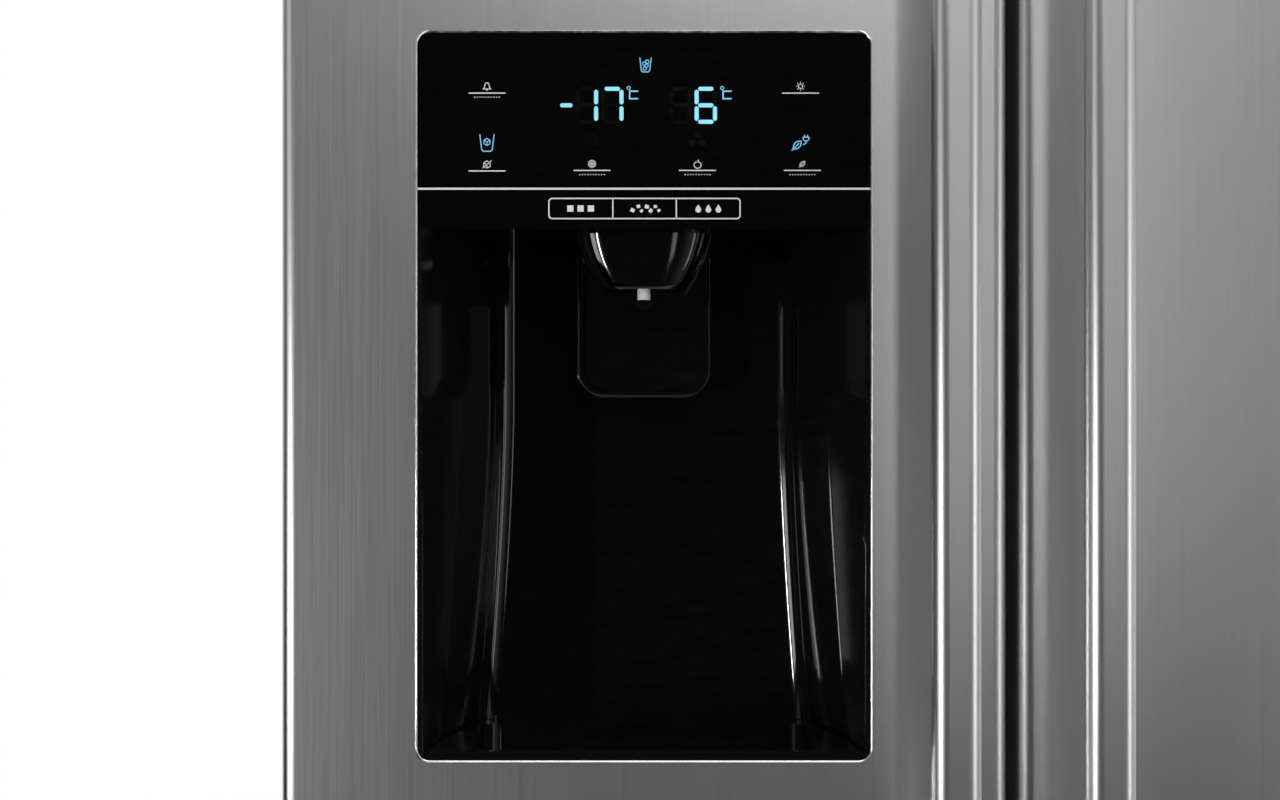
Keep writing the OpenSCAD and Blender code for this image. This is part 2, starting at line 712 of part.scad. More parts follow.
// Open drawer with a thick front and a recessed grip
module drawer(x, z, back) {
    u = grow(x, -slide_gap);
    r = liner_r - slide_gap;
    difference() {
        along_y([drawer_y, back]) pad(u, z, r);
        along_y([drawer_y + drawer_t, back - bin_t])
            pad(grow(u, -bin_t), [z[0] + bin_t, z[1] + 4 * r], r - bin_t);
        block(grow(u, cut), [drawer_y + drawer_t + 30, back + cut], [z[1] - r - 3, z[1] + cut]);
        along_y([drawer_y - cut, drawer_y + 5]) pad([u[0] + 70, u[1] - 70], [z[1] - 44, z[1] - 20], 9);
    }
}

module freezer_drawer_upper() color("#dce6ea") drawer(freezer_x, upper_z, cover_y - 6);
module freezer_drawer_lower() color("#dce6ea") drawer(freezer_x, lower_z, step_y - 10);
module crisper_upper() color("#dfeae6") drawer(fridge_x, upper_z, room_back - tower_t - 6);
module crisper_lower() color("#dfeae6") drawer(fridge_x, lower_z, step_y - 10);

// Doors

skin_t = 1;
gasket_w = 14;
gasket_in = 12;
inner_gap = 5;

// Reach of the hinge-side corner that still clears the far liner wall
function wall_reach(s) = s < 0 ? freezer_x[1] + hinge_x : hinge_x - fridge_x[0];
function inner_edge(s, depth) =
    s * (hinge_x - sqrt(pow(wall_reach(s) - 6, 2) - pow(depth + door_y - hinge_y, 2)));
function outer_edge(s) = s * (side_x - wall_t - inner_gap);
function span(s, depth) = s < 0 ? [outer_edge(s), inner_edge(s, depth)]
    : [inner_edge(s, depth), outer_edge(s)];
function door_x(s) = s < 0 ? freezer_door_x : fridge_door_x;
function gasket_x(s) = s < 0 ? [door_x(s)[0] + hinge_in, door_x(s)[1] - gasket_in]
    : [door_x(s)[0] + gasket_in, door_x(s)[1] - hinge_in];

module disp_outline(d = 0) pad([disp_x - disp_w / 2 + d, disp_x + disp_w / 2 - d],
    [disp_z + d, disp_top - d], disp_r - min(d, disp_r - 1));

module door_outline(s, d = 0) pad(grow(door_x(s), -d), [front_y + d, door_y - d], door_r - d);

module door_skin(s) difference() {
    along_z([door_z + cap_h, door_top - cap_h]) difference() {
        door_outline(s);
        door_outline(s, skin_t);
        translate([door_x(s)[0] + 16, door_y - 3]) square([door_x(s)[1] - door_x(s)[0] - 32, 6]);
    }
    if (s < 0) along_y([front_y - cut, front_y + door_r]) disp_outline();
}

// Moulded end caps with the bores that turn on the hinge pins
module door_caps(s) difference() {
    union() for (z = [[door_z, door_z + cap_h], [door_top - cap_h, door_top]]) along_z(z) door_outline(s);
    for (z = [[door_z - cut, door_z + pin_in + 1], [door_top - pin_in - 1, door_top + cut]])
        rod_z(s * hinge_x, hinge_y, hinge_r + run_gap, z);
}

// Ribs on the inner face of a door, and the freezer's bulge behind the dispenser, inset by g
module inner_form(s, g = 0) {
    x = span(s, dyke_d);
    z = grow(room_z, -8);
    difference() {
        along_y([door_y - liner_t, door_y + dyke_d - g]) pad(grow(x, -g), grow(z, -g), 18 - g);
        along_y([door_y, door_y + dyke_d + cut]) pad(grow(x, g - 24), grow(z, g - 24), 8 + g);
    }
    if (s < 0) along_y([door_y - liner_t, bulge_y - g])
        pad(grow([disp_x, disp_x], disp_w / 2 + bulge_side - g), grow([bulge_z, bulge_top], -g), 22 - g);
}

// Way of the ice, from the mouth on top of the bulge down to the chute; g is its wall
duct_front = front_y + 13;
duct_back = front_y + chute_d + duct_half;
duct_mouth = [case_y + 2, bulge_y - 8];
module duct(g = 0, over = 0) along_x([disp_x - duct_half - g, disp_x + duct_half + g]) polygon([
    [duct_front - g, alcove_top - over], [duct_back + g, alcove_top - over],
    [duct_back + g, alcove_top + 60], [duct_mouth[1] + g, bulge_top - 34],
    [duct_mouth[1] + g, bulge_top + over], [duct_mouth[0] - g, bulge_top + over],
    [duct_mouth[0] - g, bulge_top - 38], [duct_front - g, alcove_top + 46]
]);

module door_liner(s) difference() {
    union() {
        block(grow(door_x(s), -2), [door_y, door_y + liner_t], [door_z + cap_h, door_top - cap_h]);
        inner_form(s);
    }
    difference() {
        inner_form(s, liner_t);
        block(grow(door_x(s), cut), [door_y - 10, door_y], [door_z, door_top]);
    }
    block(grow(door_x(s), cut), [door_y - 10, door_y], [door_z, door_top]);
    if (s < 0) duct(alcove_t, cut);
}

module door_foam(s) difference() {
    union() {
        block(grow(door_x(s), -skin_t), [front_y + skin_t, door_y], [door_z + cap_h, door_top - cap_h]);
        inner_form(s, liner_t);
    }
    difference() {
        block(grow(door_x(s), cut), [front_y - cut, door_y + cut], [door_z, door_top]);
        along_z([door_z, door_top]) door_outline(s, skin_t);
        block(grow(door_x(s), -16), [door_y - 3, door_y + 2 * cut], [door_z, door_top]);
    }
    if (s < 0) {
        along_y([front_y - cut, front_y + alcove_d + alcove_t + fit]) disp_outline();
        block(grow([disp_x, disp_x], disp_w / 2), [front_y + skin_t, front_y + alcove_d + alcove_t + fit],
            [well_z - alcove_t - fit, disp_z + disp_r]);
        duct(alcove_t, cut);
    }
}

// Soft seal with a bellows groove along its middle
module gasket(s) difference() {
    x = gasket_x(s);
    z = [door_z + cap_h + 4, door_top - cap_h - 4];
    along_y([door_y + liner_t, case_y - near]) pad(x, z, 6);
    along_y([door_y, case_y + cut]) pad(grow(x, -gasket_w), grow(z, -gasket_w), 3);
    along_y([case_y - near - 2, case_y]) difference() {
        pad(grow(x, -gasket_w / 2 + 2), grow(z, -gasket_w / 2 + 2), 4);
        pad(grow(x, -gasket_w / 2 - 2), grow(z, -gasket_w / 2 - 2), 3);
    }
}

handle_z = (door_z + door_top) / 2 + handle_up;
function handle_x(s) = s < 0 ? freezer_door_x[1] - handle_in : fridge_door_x[0] + handle_in;

module handle(s) {
    z = grow([handle_z, handle_z], handle_l / 2);
    translate([handle_x(s), handle_y + handle_t / 2, z[0]]) linear_extrude(handle_l)
        pad([-handle_w / 2, handle_w / 2], [-handle_t / 2, handle_t / 2], handle_t / 2 - 1);
    for (v = [z[0] + 34, z[1] - 34]) {
        along_y([handle_y + handle_t - 3, front_y]) translate([handle_x(s), v])
            pad([-8, 8], [-15, 15], 7.5);
        along_y([front_y - 2.5, front_y]) translate([handle_x(s), v]) pad([-10.5, 10.5], [-18, 18], 9.5);
    }
}

// Open bins between the ribs of a door
module bins(s, heights) {
    x = span(s, bin_d);
    rib = grow(span(s, dyke_d), -26);
    u = [max(x[0], rib[0]), min(x[1], rib[1])];
    for (z = heights) difference() {
        along_z([z, z + bin_h]) bin_plan(u, 0);
        along_z([z + bin_t, z + bin_h + cut]) bin_plan(u, bin_t);
        along_y([door_y + bin_d - 2 * bin_t, door_y + bin_d + cut])
            pad(grow(u, -40), [z + bin_h - 26, z + bin_h + 20], 10);
    }
}
module bin_plan(u, g) pad(grow(u, -g), [door_y + liner_t + g, door_y + bin_d - g], 16 - g);

module freezer_door_skin() color("#a9abad") door_skin(-1);
module fridge_door_skin() color("#a9abad") door_skin(1);
module freezer_door_caps() color("#66686a") door_caps(-1);
module fridge_door_caps() color("#66686a") door_caps(1);
module freezer_door_foam() color("#e9dfb6") door_foam(-1);
module fridge_door_foam() color("#e9dfb6") door_foam(1);
module freezer_door_liner() color("#eceeef") door_liner(-1);
module fridge_door_liner() color("#eceeef") door_liner(1);
module freezer_gasket() color("#5c5f62") gasket(-1);
module fridge_gasket() color("#5c5f62") gasket(1);
module freezer_handle() color("#b7b9bb") handle(-1);
module fridge_handle() color("#b7b9bb") handle(1);
module freezer_bins() color("#dce6ea") bins(-1, freezer_bin_z);
module fridge_bins() color("#dce6ea") bins(1, fridge_bin_z);

// Dispenser

line_z = alcove_top + strip_h;

module dispenser_trim() color("#d7d9da") {
    along_y([front_y - trim_out, front_y + skin_t + near / 2]) difference() {
        disp_outline();
        disp_outline(trim_w);
    }
    block([disp_x - disp_w / 2 + trim_w, disp_x + disp_w / 2 - trim_w],
        [panel_y - near, panel_y + 0.8], [line_z, line_z + line_h]);
}

module control_panel() color("#08090a") difference() {
    along_y([panel_y, panel_y + panel_t]) intersection() {
        disp_outline(trim_w + 0.1);
        translate([disp_x - disp_w, alcove_top]) square([2 * disp_w, panel_h]);
    }
    block([disp_x - disp_w, disp_x + disp_w], [panel_y - cut, panel_y + 0.8], [line_z, line_z + line_h]);
}

board_y = front_y + 7;
module control_board() color("#1f5b3a") {
    block([disp_x - 96, disp_x + 96], [board_y, board_y + 1.6], [line_z + 6, disp_top - 12]);
    for (x = [-32, 30])
        block(from(disp_x + x, -22, 22), [panel_y + panel_t, board_y + 0.2], from(line_z, 36, 66));
    for (x = [-86:22:90])
        block(from(disp_x + x, 0, 10), [board_y - 1.4, board_y + 0.2], from(line_z, 12, 22));
}

// Points of a round of radius r in the corner a-b-c
function unit(v) = v / norm(v);
function round_off(a, b, c, r, n = 6) = let (
    u = unit(a - b), v = unit(c - b), h = acos(u * v) / 2, m = b + unit(u + v) * r / sin(h),
    p = b + u * r / tan(h) - m, q = b + v * r / tan(h) - m
) [for (k = [0:n]) m + r * unit(p * (1 - k / n) + q * (k / n))];

// Outline of the alcove at height z, larger by g: straight at the top, flaring towards the tray
flare_from = 0.66;
function flare(z) = pow(max(0, 1 - (z - alcove_floor) / (alcove_top - alcove_floor) / flare_from), 1.5);
function half_outline(z, g) = let (
    bend = bend_half_top + (bend_half_bottom - bend_half_top) * flare(z),
    back = back_half_top + (back_half_bottom - back_half_top) * flare(z),
    a = [disp_w / 2 - trim_w - rim_w + min(g, rim_w - 0.2), -0.6], b = [bend + g, bend_d],
    c = [back + g, alcove_d + g], d = [0, alcove_d + g]
) concat([a], round_off(a, b, c, 40, 4), round_off(b, c, d, 14, 7));
function outline(z, g) = let (h = half_outline(z, g), n = len(h)) concat(
    [for (p = h) [disp_x + p[0], front_y + p[1], z]],
    [for (k = [1:n]) [disp_x - h[n - k][0], front_y + h[n - k][1], z]]);

// Solid lofted through the alcove's outlines at the heights in list
module loft(list, g) {
    rows = [for (z = list) outline(z, g)];
    m = len(rows[0]);
    polyhedron([for (r = rows, p = r) p], concat(
        [[for (k = [0:m - 1]) k]],
        [[for (k = [1:m]) (len(list) - 1) * m + m - k]],
        [for (j = [0:len(list) - 2], k = [0:m - 1]) let (a = j * m + k, b = j * m + (k + 1) % m)
            [a, a + m, b + m, b]]));
}

loft_n = 10;
function heights(a, b) = [for (k = [0:loft_n]) a + (b - a) * k / loft_n];

// Outline of the alcove's floor, larger by g, from the depth y on
module floor_plan(g, y) intersection() {
    polygon([for (p = outline(tray_top + tray_lift, g)) [p[0], p[1]]]);
    translate([disp_x - disp_w, front_y + y]) square([2 * disp_w, disp_w]);
}
tray_top = alcove_floor + 2;
tray_lift = 20;
tray_z0 = tray_top - tray_h;
well_z = tray_z0 - near;

// Ears that carry the lever, within its width, and its pivot
ear_w = 4;
ear_r = 5;
function ear_x(s) = from(disp_x + s * (pad_w / 2 - 6), -ear_w / 2, ear_w / 2);
pivot_y = front_y + pad_d;
pivot_z = alcove_top - 9;
pivot_r = 2.5;
flap_z = alcove_top + alcove_t + 4;
flap_y = duct_back - 4;
ceiling = [alcove_top, alcove_top + alcove_t];

// Moulding that lines the dispenser: the alcove, its ceiling, the ice duct and the ears of the lever
module dispenser_housing() color("#0b0c0d") {
    difference() {
        union() {
            difference() {
                loft(heights(alcove_floor - alcove_t, ceiling[1]), alcove_t);
                along_x([disp_x - disp_w, disp_x + disp_w]) polygon([
                    [front_y - cut, 0], [front_y + skin_t + near, 0],
                    [front_y + skin_t + near, alcove_top - near], [panel_y + panel_t, alcove_top - near],
                    [panel_y + panel_t, case_h], [front_y - cut, case_h]]);
            }
            along_z([well_z - alcove_t, alcove_floor - near]) floor_plan(alcove_t - near, skin_t + near);
            along_y([front_y - 0.6, front_y + alcove_t]) intersection() {
                disp_outline(trim_w + 0.1);
                translate([disp_x - disp_w, disp_z]) square([2 * disp_w, disp_h - panel_h]);
            }
        }
        loft(heights(alcove_floor, alcove_top), 0);
        along_z([well_z, alcove_floor + 0.1]) floor_plan(-0.05, alcove_t);
        rod_z(disp_x, front_y + chute_d, mouth_r - chute_t, grow(ceiling, cut));
        along_y([front_y - 2, front_y]) translate([disp_x - disp_w / 2 + trim_w + rim_w, alcove_floor])
            square([disp_w - 2 * (trim_w + rim_w), alcove_top - alcove_floor + cut]);
    }
    difference() {
        duct(alcove_t);
        duct(0, cut);
        block([disp_x - disp_w, disp_x + disp_w], [front_y, back_y], [0, ceiling[1]]);
        rod_x(flap_y, flap_z, 3 + run_gap, [disp_x - disp_w, disp_x + disp_w]);
    }
    for (s = [-1, 1]) difference() {
        along_x(ear_x(s)) union() {
            translate([pivot_y - ear_r, pivot_z]) square([2 * ear_r, alcove_top + alcove_t / 2 - pivot_z]);
            translate([pivot_y, pivot_z]) circle(ear_r);
        }
        rod_x(pivot_y, pivot_z, pivot_r + run_gap, grow([disp_x, disp_x], pad_w));
    }
}

// Cup that guides the ice into the glass: a revolved funnel with a flat back clear of the lever
chute_back = pad_d - chute_d - 5;
module chute_form(g) intersection() {
    rotate_extrude() polygon(chute_profile(g));
    translate([-disp_w, chute_back - g - disp_w, -2 * cut]) cube([2 * disp_w, disp_w, chute_h + 4 * cut]);
}
module ice_chute() color("#111214")
    translate([disp_x, front_y + chute_d, alcove_top - chute_h]) difference() {
    union() {
        difference() {
            chute_form(0);
            chute_form(chute_t);
        }
        intersection() {
            chute_form(chute_t / 2);
            translate([-nozzle_r - 2, -chute_r, chute_h - 22])
                cube([2 * nozzle_r + 4, chute_r + nozzle_in, 10]);
        }
    }
    translate([0, nozzle_in, -cut]) cylinder(h = chute_h + 2 * cut, r = nozzle_r + run_gap);
}
function chute_profile(g) = concat(
    [[0, g > 0 ? -cut : 0]],
    [for (k = [0:6]) let (t = k / 6)
        [mouth_r - g + (chute_r - mouth_r) * t + 3 * sin(180 * t), chute_h * t]],
    [[0, chute_h + (g > 0 ? cut : 0)]]);

nozzle_in = nozzle_r + 5 - mouth_r;
nozzle_y = front_y + chute_d + nozzle_in;
module water_nozzle() color("#f2f2f0") difference() {
    union() {
        rod_z(disp_x, nozzle_y, nozzle_r, [alcove_top - chute_h - nozzle_drop, alcove_top - 4]);
        rod_z(disp_x, nozzle_y, nozzle_r + 1.6, [alcove_top - 12, alcove_top - 9]);
    }
    rod_z(disp_x, nozzle_y, nozzle_r - 1.4, [alcove_top - chute_h - nozzle_drop - cut, alcove_top + 31]);
    translate([disp_x, nozzle_y, alcove_top - chute_h - nozzle_drop]) rotate([24, 0, 0])
        translate([-10, -10, -8.2]) cube([20, 20, 8]);
}

module drip_tray() color("#0e0f10") difference() {
    along_z([tray_z0, tray_z0 + tray_h]) floor_plan(-fit, alcove_t + fit);
    translate([0, 0, tray_z0 + 3]) linear_extrude(tray_h) pad([disp_x - back_half_bottom + 3,
        disp_x + back_half_bottom - 3], [front_y + alcove_t + 4, front_y + alcove_d - 12], 12);
}

spring_x = disp_x - pad_w / 2 + 11;
module dispenser_lever() color("#0a0b0c") {
    rim = 3.6;
    axle_out = 3.4;
    z = [pivot_z - pad_h, pivot_z];
    x = grow([disp_x, disp_x], pad_w / 2);
    slot_y = grow([pivot_y, pivot_y], 2 * ear_r);
    difference() {
        union() {
            along_y([pivot_y - 3, pivot_y + 1.5]) {
                pad(x, z, pad_r);
                translate([x[0], pivot_z - pad_r]) square([pad_w, pad_r]);
            }
            rod_x(pivot_y, pivot_z, axle_out, x);
        }
        along_y([pivot_y - 4, pivot_y - 1])
            pad(grow(x, -rim), [z[0] + rim, z[1] - axle_out - 1], pad_r - rim);
        for (s = [-1, 1])
            block(grow(ear_x(s), 0.6), slot_y, [pivot_z - ear_r - 1, pivot_z + 2 * ear_r]);
        block([spring_x - 2, spring_x + 9], slot_y, [pivot_z - 8, pivot_z + 2 * ear_r]);
    }
    rod_x(pivot_y, pivot_z, pivot_r, x);
}

// Return spring wound round the lever's axle, with one leg on the pad and one on the ceiling
module lever_spring() color("#c3c6c8") {
    coil_r = 4.2;
    pitch = 1.3;
    for (k = [0:5]) translate([spring_x + k * pitch, pivot_y, pivot_z]) rotate([0, 90, 0])
        rotate_extrude() translate([coil_r, 0]) circle(r = 0.7, $fn = 16);
    rod_z(spring_x, pivot_y + coil_r, 0.65, [pivot_z, alcove_top]);
    rod_z(spring_x + 5 * pitch, pivot_y + coil_r, 0.65, [pivot_z - 9, pivot_z]);
}

module chute_flap() color("#26282a") {
    block(grow([disp_x, disp_x], duct_half - 1), [duct_front + 1, flap_y], grow([flap_z, flap_z], 2));
    rod_x(flap_y, flap_z, 3, [disp_x - duct_half - alcove_t, disp_x + duct_half + alcove_t + 9]);
}

module flap_motor() color("#dadcdd") difference() {
    block(from(disp_x + duct_half + alcove_t + near, 0, 26), from(flap_y, -30, 14), from(flap_z, -3, 30));
    rod_x(flap_y, flap_z, 3 + run_gap, from(disp_x + duct_half + alcove_t, 0, 10));
}

cabinet_shell();
rear_panel();
cabinet_foam();
freezer_liner();
fridge_liner();
mullion_cover();
base_frame();
compressor();
condenser();
fan_motors();
condenser_fan();
drain_pan();
machine_cover();
water_valve();
kick_plate();
bottom_hinges();
top_hinges();
hinge_covers();
evaporator();
evaporator_fan();
air_ducts();
ice_maker();
ice_tray();
ice_bucket();
ice_auger();
shelf_glass();
shelf_trims();
lamp_lenses();
freezer_drawer_upper();
freezer_drawer_lower();
crisper_upper();
crisper_lower();
rear_rollers();
foot_left();
foot_right();
freezer_door_skin();
freezer_door_caps();
freezer_door_foam();
freezer_door_liner();
freezer_gasket();
freezer_handle();
freezer_bins();
dispenser_trim();
dispenser_housing();
control_panel();
control_board();
ice_chute();
water_nozzle();
drip_tray();
dispenser_lever();
lever_spring();
chute_flap();
flap_motor();
fridge_door_skin();
fridge_door_caps();
fridge_door_foam();
fridge_door_liner();
fridge_gasket();
fridge_handle();
fridge_bins();
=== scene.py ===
"""Looks of the side by side refrigerator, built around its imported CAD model. Metres, the model's own frame."""

import math

import bmesh
import bpy
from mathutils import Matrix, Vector


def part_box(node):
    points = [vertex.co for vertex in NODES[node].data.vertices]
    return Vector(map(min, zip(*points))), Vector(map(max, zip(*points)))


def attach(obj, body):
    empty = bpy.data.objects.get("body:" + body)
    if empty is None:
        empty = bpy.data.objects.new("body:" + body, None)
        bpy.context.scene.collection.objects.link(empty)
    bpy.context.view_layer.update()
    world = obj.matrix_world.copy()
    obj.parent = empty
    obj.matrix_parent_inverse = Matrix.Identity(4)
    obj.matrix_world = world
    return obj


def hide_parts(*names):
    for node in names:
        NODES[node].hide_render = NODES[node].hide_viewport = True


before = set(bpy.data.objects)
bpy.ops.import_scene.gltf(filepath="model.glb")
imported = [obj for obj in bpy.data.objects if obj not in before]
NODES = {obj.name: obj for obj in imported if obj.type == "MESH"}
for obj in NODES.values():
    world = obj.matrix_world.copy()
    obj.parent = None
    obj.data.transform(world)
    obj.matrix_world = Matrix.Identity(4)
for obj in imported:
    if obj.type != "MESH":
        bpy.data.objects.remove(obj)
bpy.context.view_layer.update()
MM = 0.001


def span(node):
    """Lowest and highest corner of a CAD node at rest."""
    low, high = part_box(node)
    return Vector(low), Vector(high)


# ---------------------------------------------------------------- places

TRIM_LOW, TRIM_HIGH = span("dispenser_trim")
PANEL_LOW = span("control_panel")[0]
MIDDLE_X = (TRIM_LOW.x + TRIM_HIGH.x) / 2
MIDDLE_Z = (TRIM_LOW.z + TRIM_HIGH.z) / 2
FRONT = span("freezer_door_skin")[0].y
PANEL_FACE = PANEL_LOW.y


# ---------------------------------------------------------------- camera, floor and light

def make_camera():
    """Straight in front of the dispenser, close enough for it to fill the height of the view."""
    distance, aside, down = 0.93, 0.0022, 0.0019
    data = bpy.data.cameras.new("camera")
    data.lens = 47.9
    data.sensor_width = 36
    data.clip_start = 0.05
    camera = bpy.data.objects.new("camera", data)
    bpy.context.collection.objects.link(camera)
    camera.location = (MIDDLE_X - aside, FRONT - distance, MIDDLE_Z - down)
    camera.rotation_euler = (math.pi / 2, 0, 0)
    bpy.context.scene.camera = camera


def area_light(name, place, target, size, power):
    """Rectangular white lamp of size metres and power watts at place, turned to target."""
    data = bpy.data.lights.new(name, "AREA")
    data.shape = "RECTANGLE"
    data.size, data.size_y = size
    data.energy = power
    lamp = bpy.data.objects.new(name, data)
    bpy.context.collection.objects.link(lamp)
    lamp.location = place
    lamp.rotation_euler = (Vector(target) - Vector(place)).to_track_quat("-Z", "Y").to_euler()


def mesh_object(name, bm, crease=None):
    """Object from a bmesh. With a crease it is smooth, but for every edge sharper than crease degrees."""
    smooth = crease is not None
    if smooth:
        for edge in bm.edges:
            edge.smooth = edge.calc_face_angle(0) < math.radians(crease)
    mesh = bpy.data.meshes.new(name)
    bm.to_mesh(mesh)
    bm.free()
    for face in mesh.polygons:
        face.use_smooth = smooth
    piece = bpy.data.objects.new(name, mesh)
    bpy.context.collection.objects.link(piece)
    return piece


def join_rings(bm, one, other):
    """Quads between two closed rings of equally many vertices."""
    for k in range(len(one)):
        n = (k + 1) % len(one)
        bm.faces.new((one[k], one[n], other[n], other[k]))


# ---------------------------------------------------------------- materials

class Finish:
    """A material that is put together node by node. Inputs are given as socket=value or socket=link."""

    def __init__(self, name):
        self.material = bpy.data.materials.new(name)
        self.material.use_nodes = True
        self.tree = self.material.node_tree
        self.shader = self.tree.nodes["Principled BSDF"]

    def set(self, node, inputs):
        """Each input linked to a socket, or set to a value."""
        for key, value in inputs.items():
            socket = node.inputs[key]
            if isinstance(value, bpy.types.NodeSocket):
                self.tree.links.new(value, socket)
            else:
                socket.default_value = value

    def add(self, kind, inputs=None, output=0, **settings):
        """One output of a new node."""
        node = self.tree.nodes.new("ShaderNode" + kind)
        for key, value in settings.items():
            setattr(node, key, value)
        self.set(node, inputs or {})
        return node.outputs[output]

    def place(self, scale=(1, 1, 1)):
        """Object coordinates stretched by scale."""
        here = self.add("TexCoord", output="Object")
        return self.add("Mapping", {"Vector": here, "Scale": scale})

    def noise(self, scale, stretch=(1, 1, 1), *, detail, rough=0.5):
        """Clouds of noise, finer with a higher scale and stretched along the axes with a low stretch."""
        return self.add("TexNoise", {"Vector": self.place(stretch), "Scale": scale, "Detail": detail,
                                     "Roughness": rough}, output="Fac")

    def spread(self, value, low, high, start=0.3, end=0.7):
        """A value between start and end, mapped to low and high."""
        return self.add("MapRange", {"Value": value, "From Min": start, "From Max": end,
                                     "To Min": low, "To Max": high})

    def tone(self, value, colour, change):
        """A colour that gets darker and lighter by change as value goes from 0.3 to 0.7."""
        dark = [c * (1 - change) for c in colour] + [1]
        light = [min(1, c * (1 + change)) for c in colour] + [1]
        return self.add("Mix", {0: self.spread(value, 0, 1), 6: dark, 7: light}, output=2, data_type="RGBA")

    def bump(self, height, strength, distance=0.0002):
        return self.add("Bump", {"Height": height, "Strength": strength, "Distance": distance})

    def principled(self, **inputs):
        """The finished material. Inputs are the shader's sockets in lower case."""
        self.set(self.shader, {key.replace("_", " ").title().replace("Ior", "IOR"): value
                               for key, value in inputs.items()})
        return self.material


def moulded(name, colour, rough, grain=900, depth=0.05, change=0.05, coat=0.0):
    """Moulded plastic: fine grain, slow patches of colour and shine."""
    f = Finish(name)
    fine = f.noise(grain, detail=2)
    slow = f.noise(9, detail=4)
    inputs = {"base_color": f.tone(slow, colour, change), "roughness": f.spread(slow, rough * 0.85, rough * 1.15),
              "normal": f.bump(fine, depth)}
    if coat:
        inputs["coat_weight"] = coat
        inputs["coat_roughness"] = 0.05
    return f.principled(**inputs)


def brushed(name, colour, rough, stretch):
    """Steel brushed along the axis with the smallest stretch: fine lines over slow clouds."""
    f = Finish(name)
    lines = f.noise(1, stretch, detail=4, rough=0.7)
    slow = f.noise(2.2, detail=2)
    shine = f.add("Math", {0: f.spread(lines, rough - 0.02, rough + 0.02), 1: f.spread(slow, -0.015, 0.015)},
                  operation="ADD")
    return f.principled(base_color=f.tone(lines, colour, 0.035), metallic=1.0, roughness=shine,
                        normal=f.bump(lines, 0.02, 0.00005))


def painted(name, colour, rough, grain=700, metallic=0.0):
    """Painted sheet metal with orange peel."""
    f = Finish(name)
    peel = f.noise(grain, detail=1)
    slow = f.noise(5, detail=5)
    return f.principled(base_color=f.tone(slow, colour, 0.04), metallic=metallic,
                        roughness=f.spread(slow, rough * 0.85, rough * 1.2), normal=f.bump(peel, 0.10))


def zinc(name, colour, rough):
    """Galvanised sheet: crystals of zinc that shine at different angles."""
    f = Finish(name)
    flake = f.add("TexVoronoi", {"Vector": f.place(), "Scale": 110.0, "Randomness": 1.0}, output="Color")
    grey = f.add("RGBToBW", {"Color": flake})
    slow = f.noise(4, detail=5)
    return f.principled(base_color=f.tone(grey, colour, 0.04), metallic=0.85,
                        roughness=f.spread(grey, rough - 0.03, rough + 0.04, 0, 1), normal=f.bump(slow, 0.05, 0.001))


def gloss(name, colour, rough, wave=28, depth=0.03):
    """High gloss black: a faint wave of the moulding and a haze of fine wipe marks."""
    f = Finish(name)
    wave_height = f.noise(wave, detail=1)
    haze = f.noise(60, (1, 1, 3), detail=6, rough=0.7)
    return f.principled(base_color=f.tone(haze, colour, 0.3), roughness=f.spread(haze, rough * 0.8, rough * 1.5),
                        normal=f.bump(wave_height, depth, 0.0005), ior=1.5)


def clear(name, colour, rough, ior=1.49, weight=0.9):
    """Clear plastic or glass, with faint flow marks."""
    f = Finish(name)
    slow = f.noise(14, detail=3)
    return f.principled(base_color=f.tone(slow, colour, 0.04), roughness=f.spread(slow, rough * 0.7, rough * 1.3),
                        transmission_weight=weight, ior=ior, normal=f.bump(slow, 0.04, 0.001))


def cast(name, colour, rough, grain=300, depth=0.2, metallic=0.6):
    """Cast, plated or bare metal with fine pits."""
    f = Finish(name)
    pits = f.noise(grain, detail=5, rough=0.65)
    return f.principled(base_color=f.tone(pits, colour, 0.12), metallic=metallic,
                        roughness=f.spread(pits, rough - 0.06, rough + 0.1), normal=f.bump(pits, depth, 0.0003))


def foam(name, colour):
    """Hard insulation foam with fine cells."""
    f = Finish(name)
    cells = f.add("TexVoronoi", {"Vector": f.place(), "Scale": 700.0}, output="Distance")
    return f.principled(base_color=f.tone(cells, colour, 0.12), roughness=0.9, normal=f.bump(cells, 0.5, 0.0005))


def board(name):
    """Circuit board: green lacquer over tracks."""
    f = Finish(name)
    tracks = f.add("TexBrick", {"Vector": f.place(), "Scale": 120.0, "Mortar Size": 0.03,
                                "Color1": (0.02, 0.16, 0.08, 1), "Color2": (0.03, 0.20, 0.10, 1),
                                "Mortar": (0.08, 0.30, 0.12, 1)}, output="Color")
    return f.principled(base_color=tracks, roughness=0.35, coat_weight=0.5)


def lit(name, colour, strength):
    """A lit segment behind the panel, its glow a little uneven in fine spots."""
    f = Finish(name)
    spots = f.noise(260, detail=2)
    return f.principled(base_color=(0, 0, 0, 1), roughness=0.3, emission_color=f.tone(spots, colour, 0.05),
                        emission_strength=strength)


def printed(name, colour, rough=0.45):
    """Screen print: slightly uneven ink."""
    f = Finish(name)
    ink = f.noise(1500, detail=2)
    return f.principled(base_color=f.tone(ink, colour, 0.06), roughness=rough, normal=f.bump(ink, 0.05))


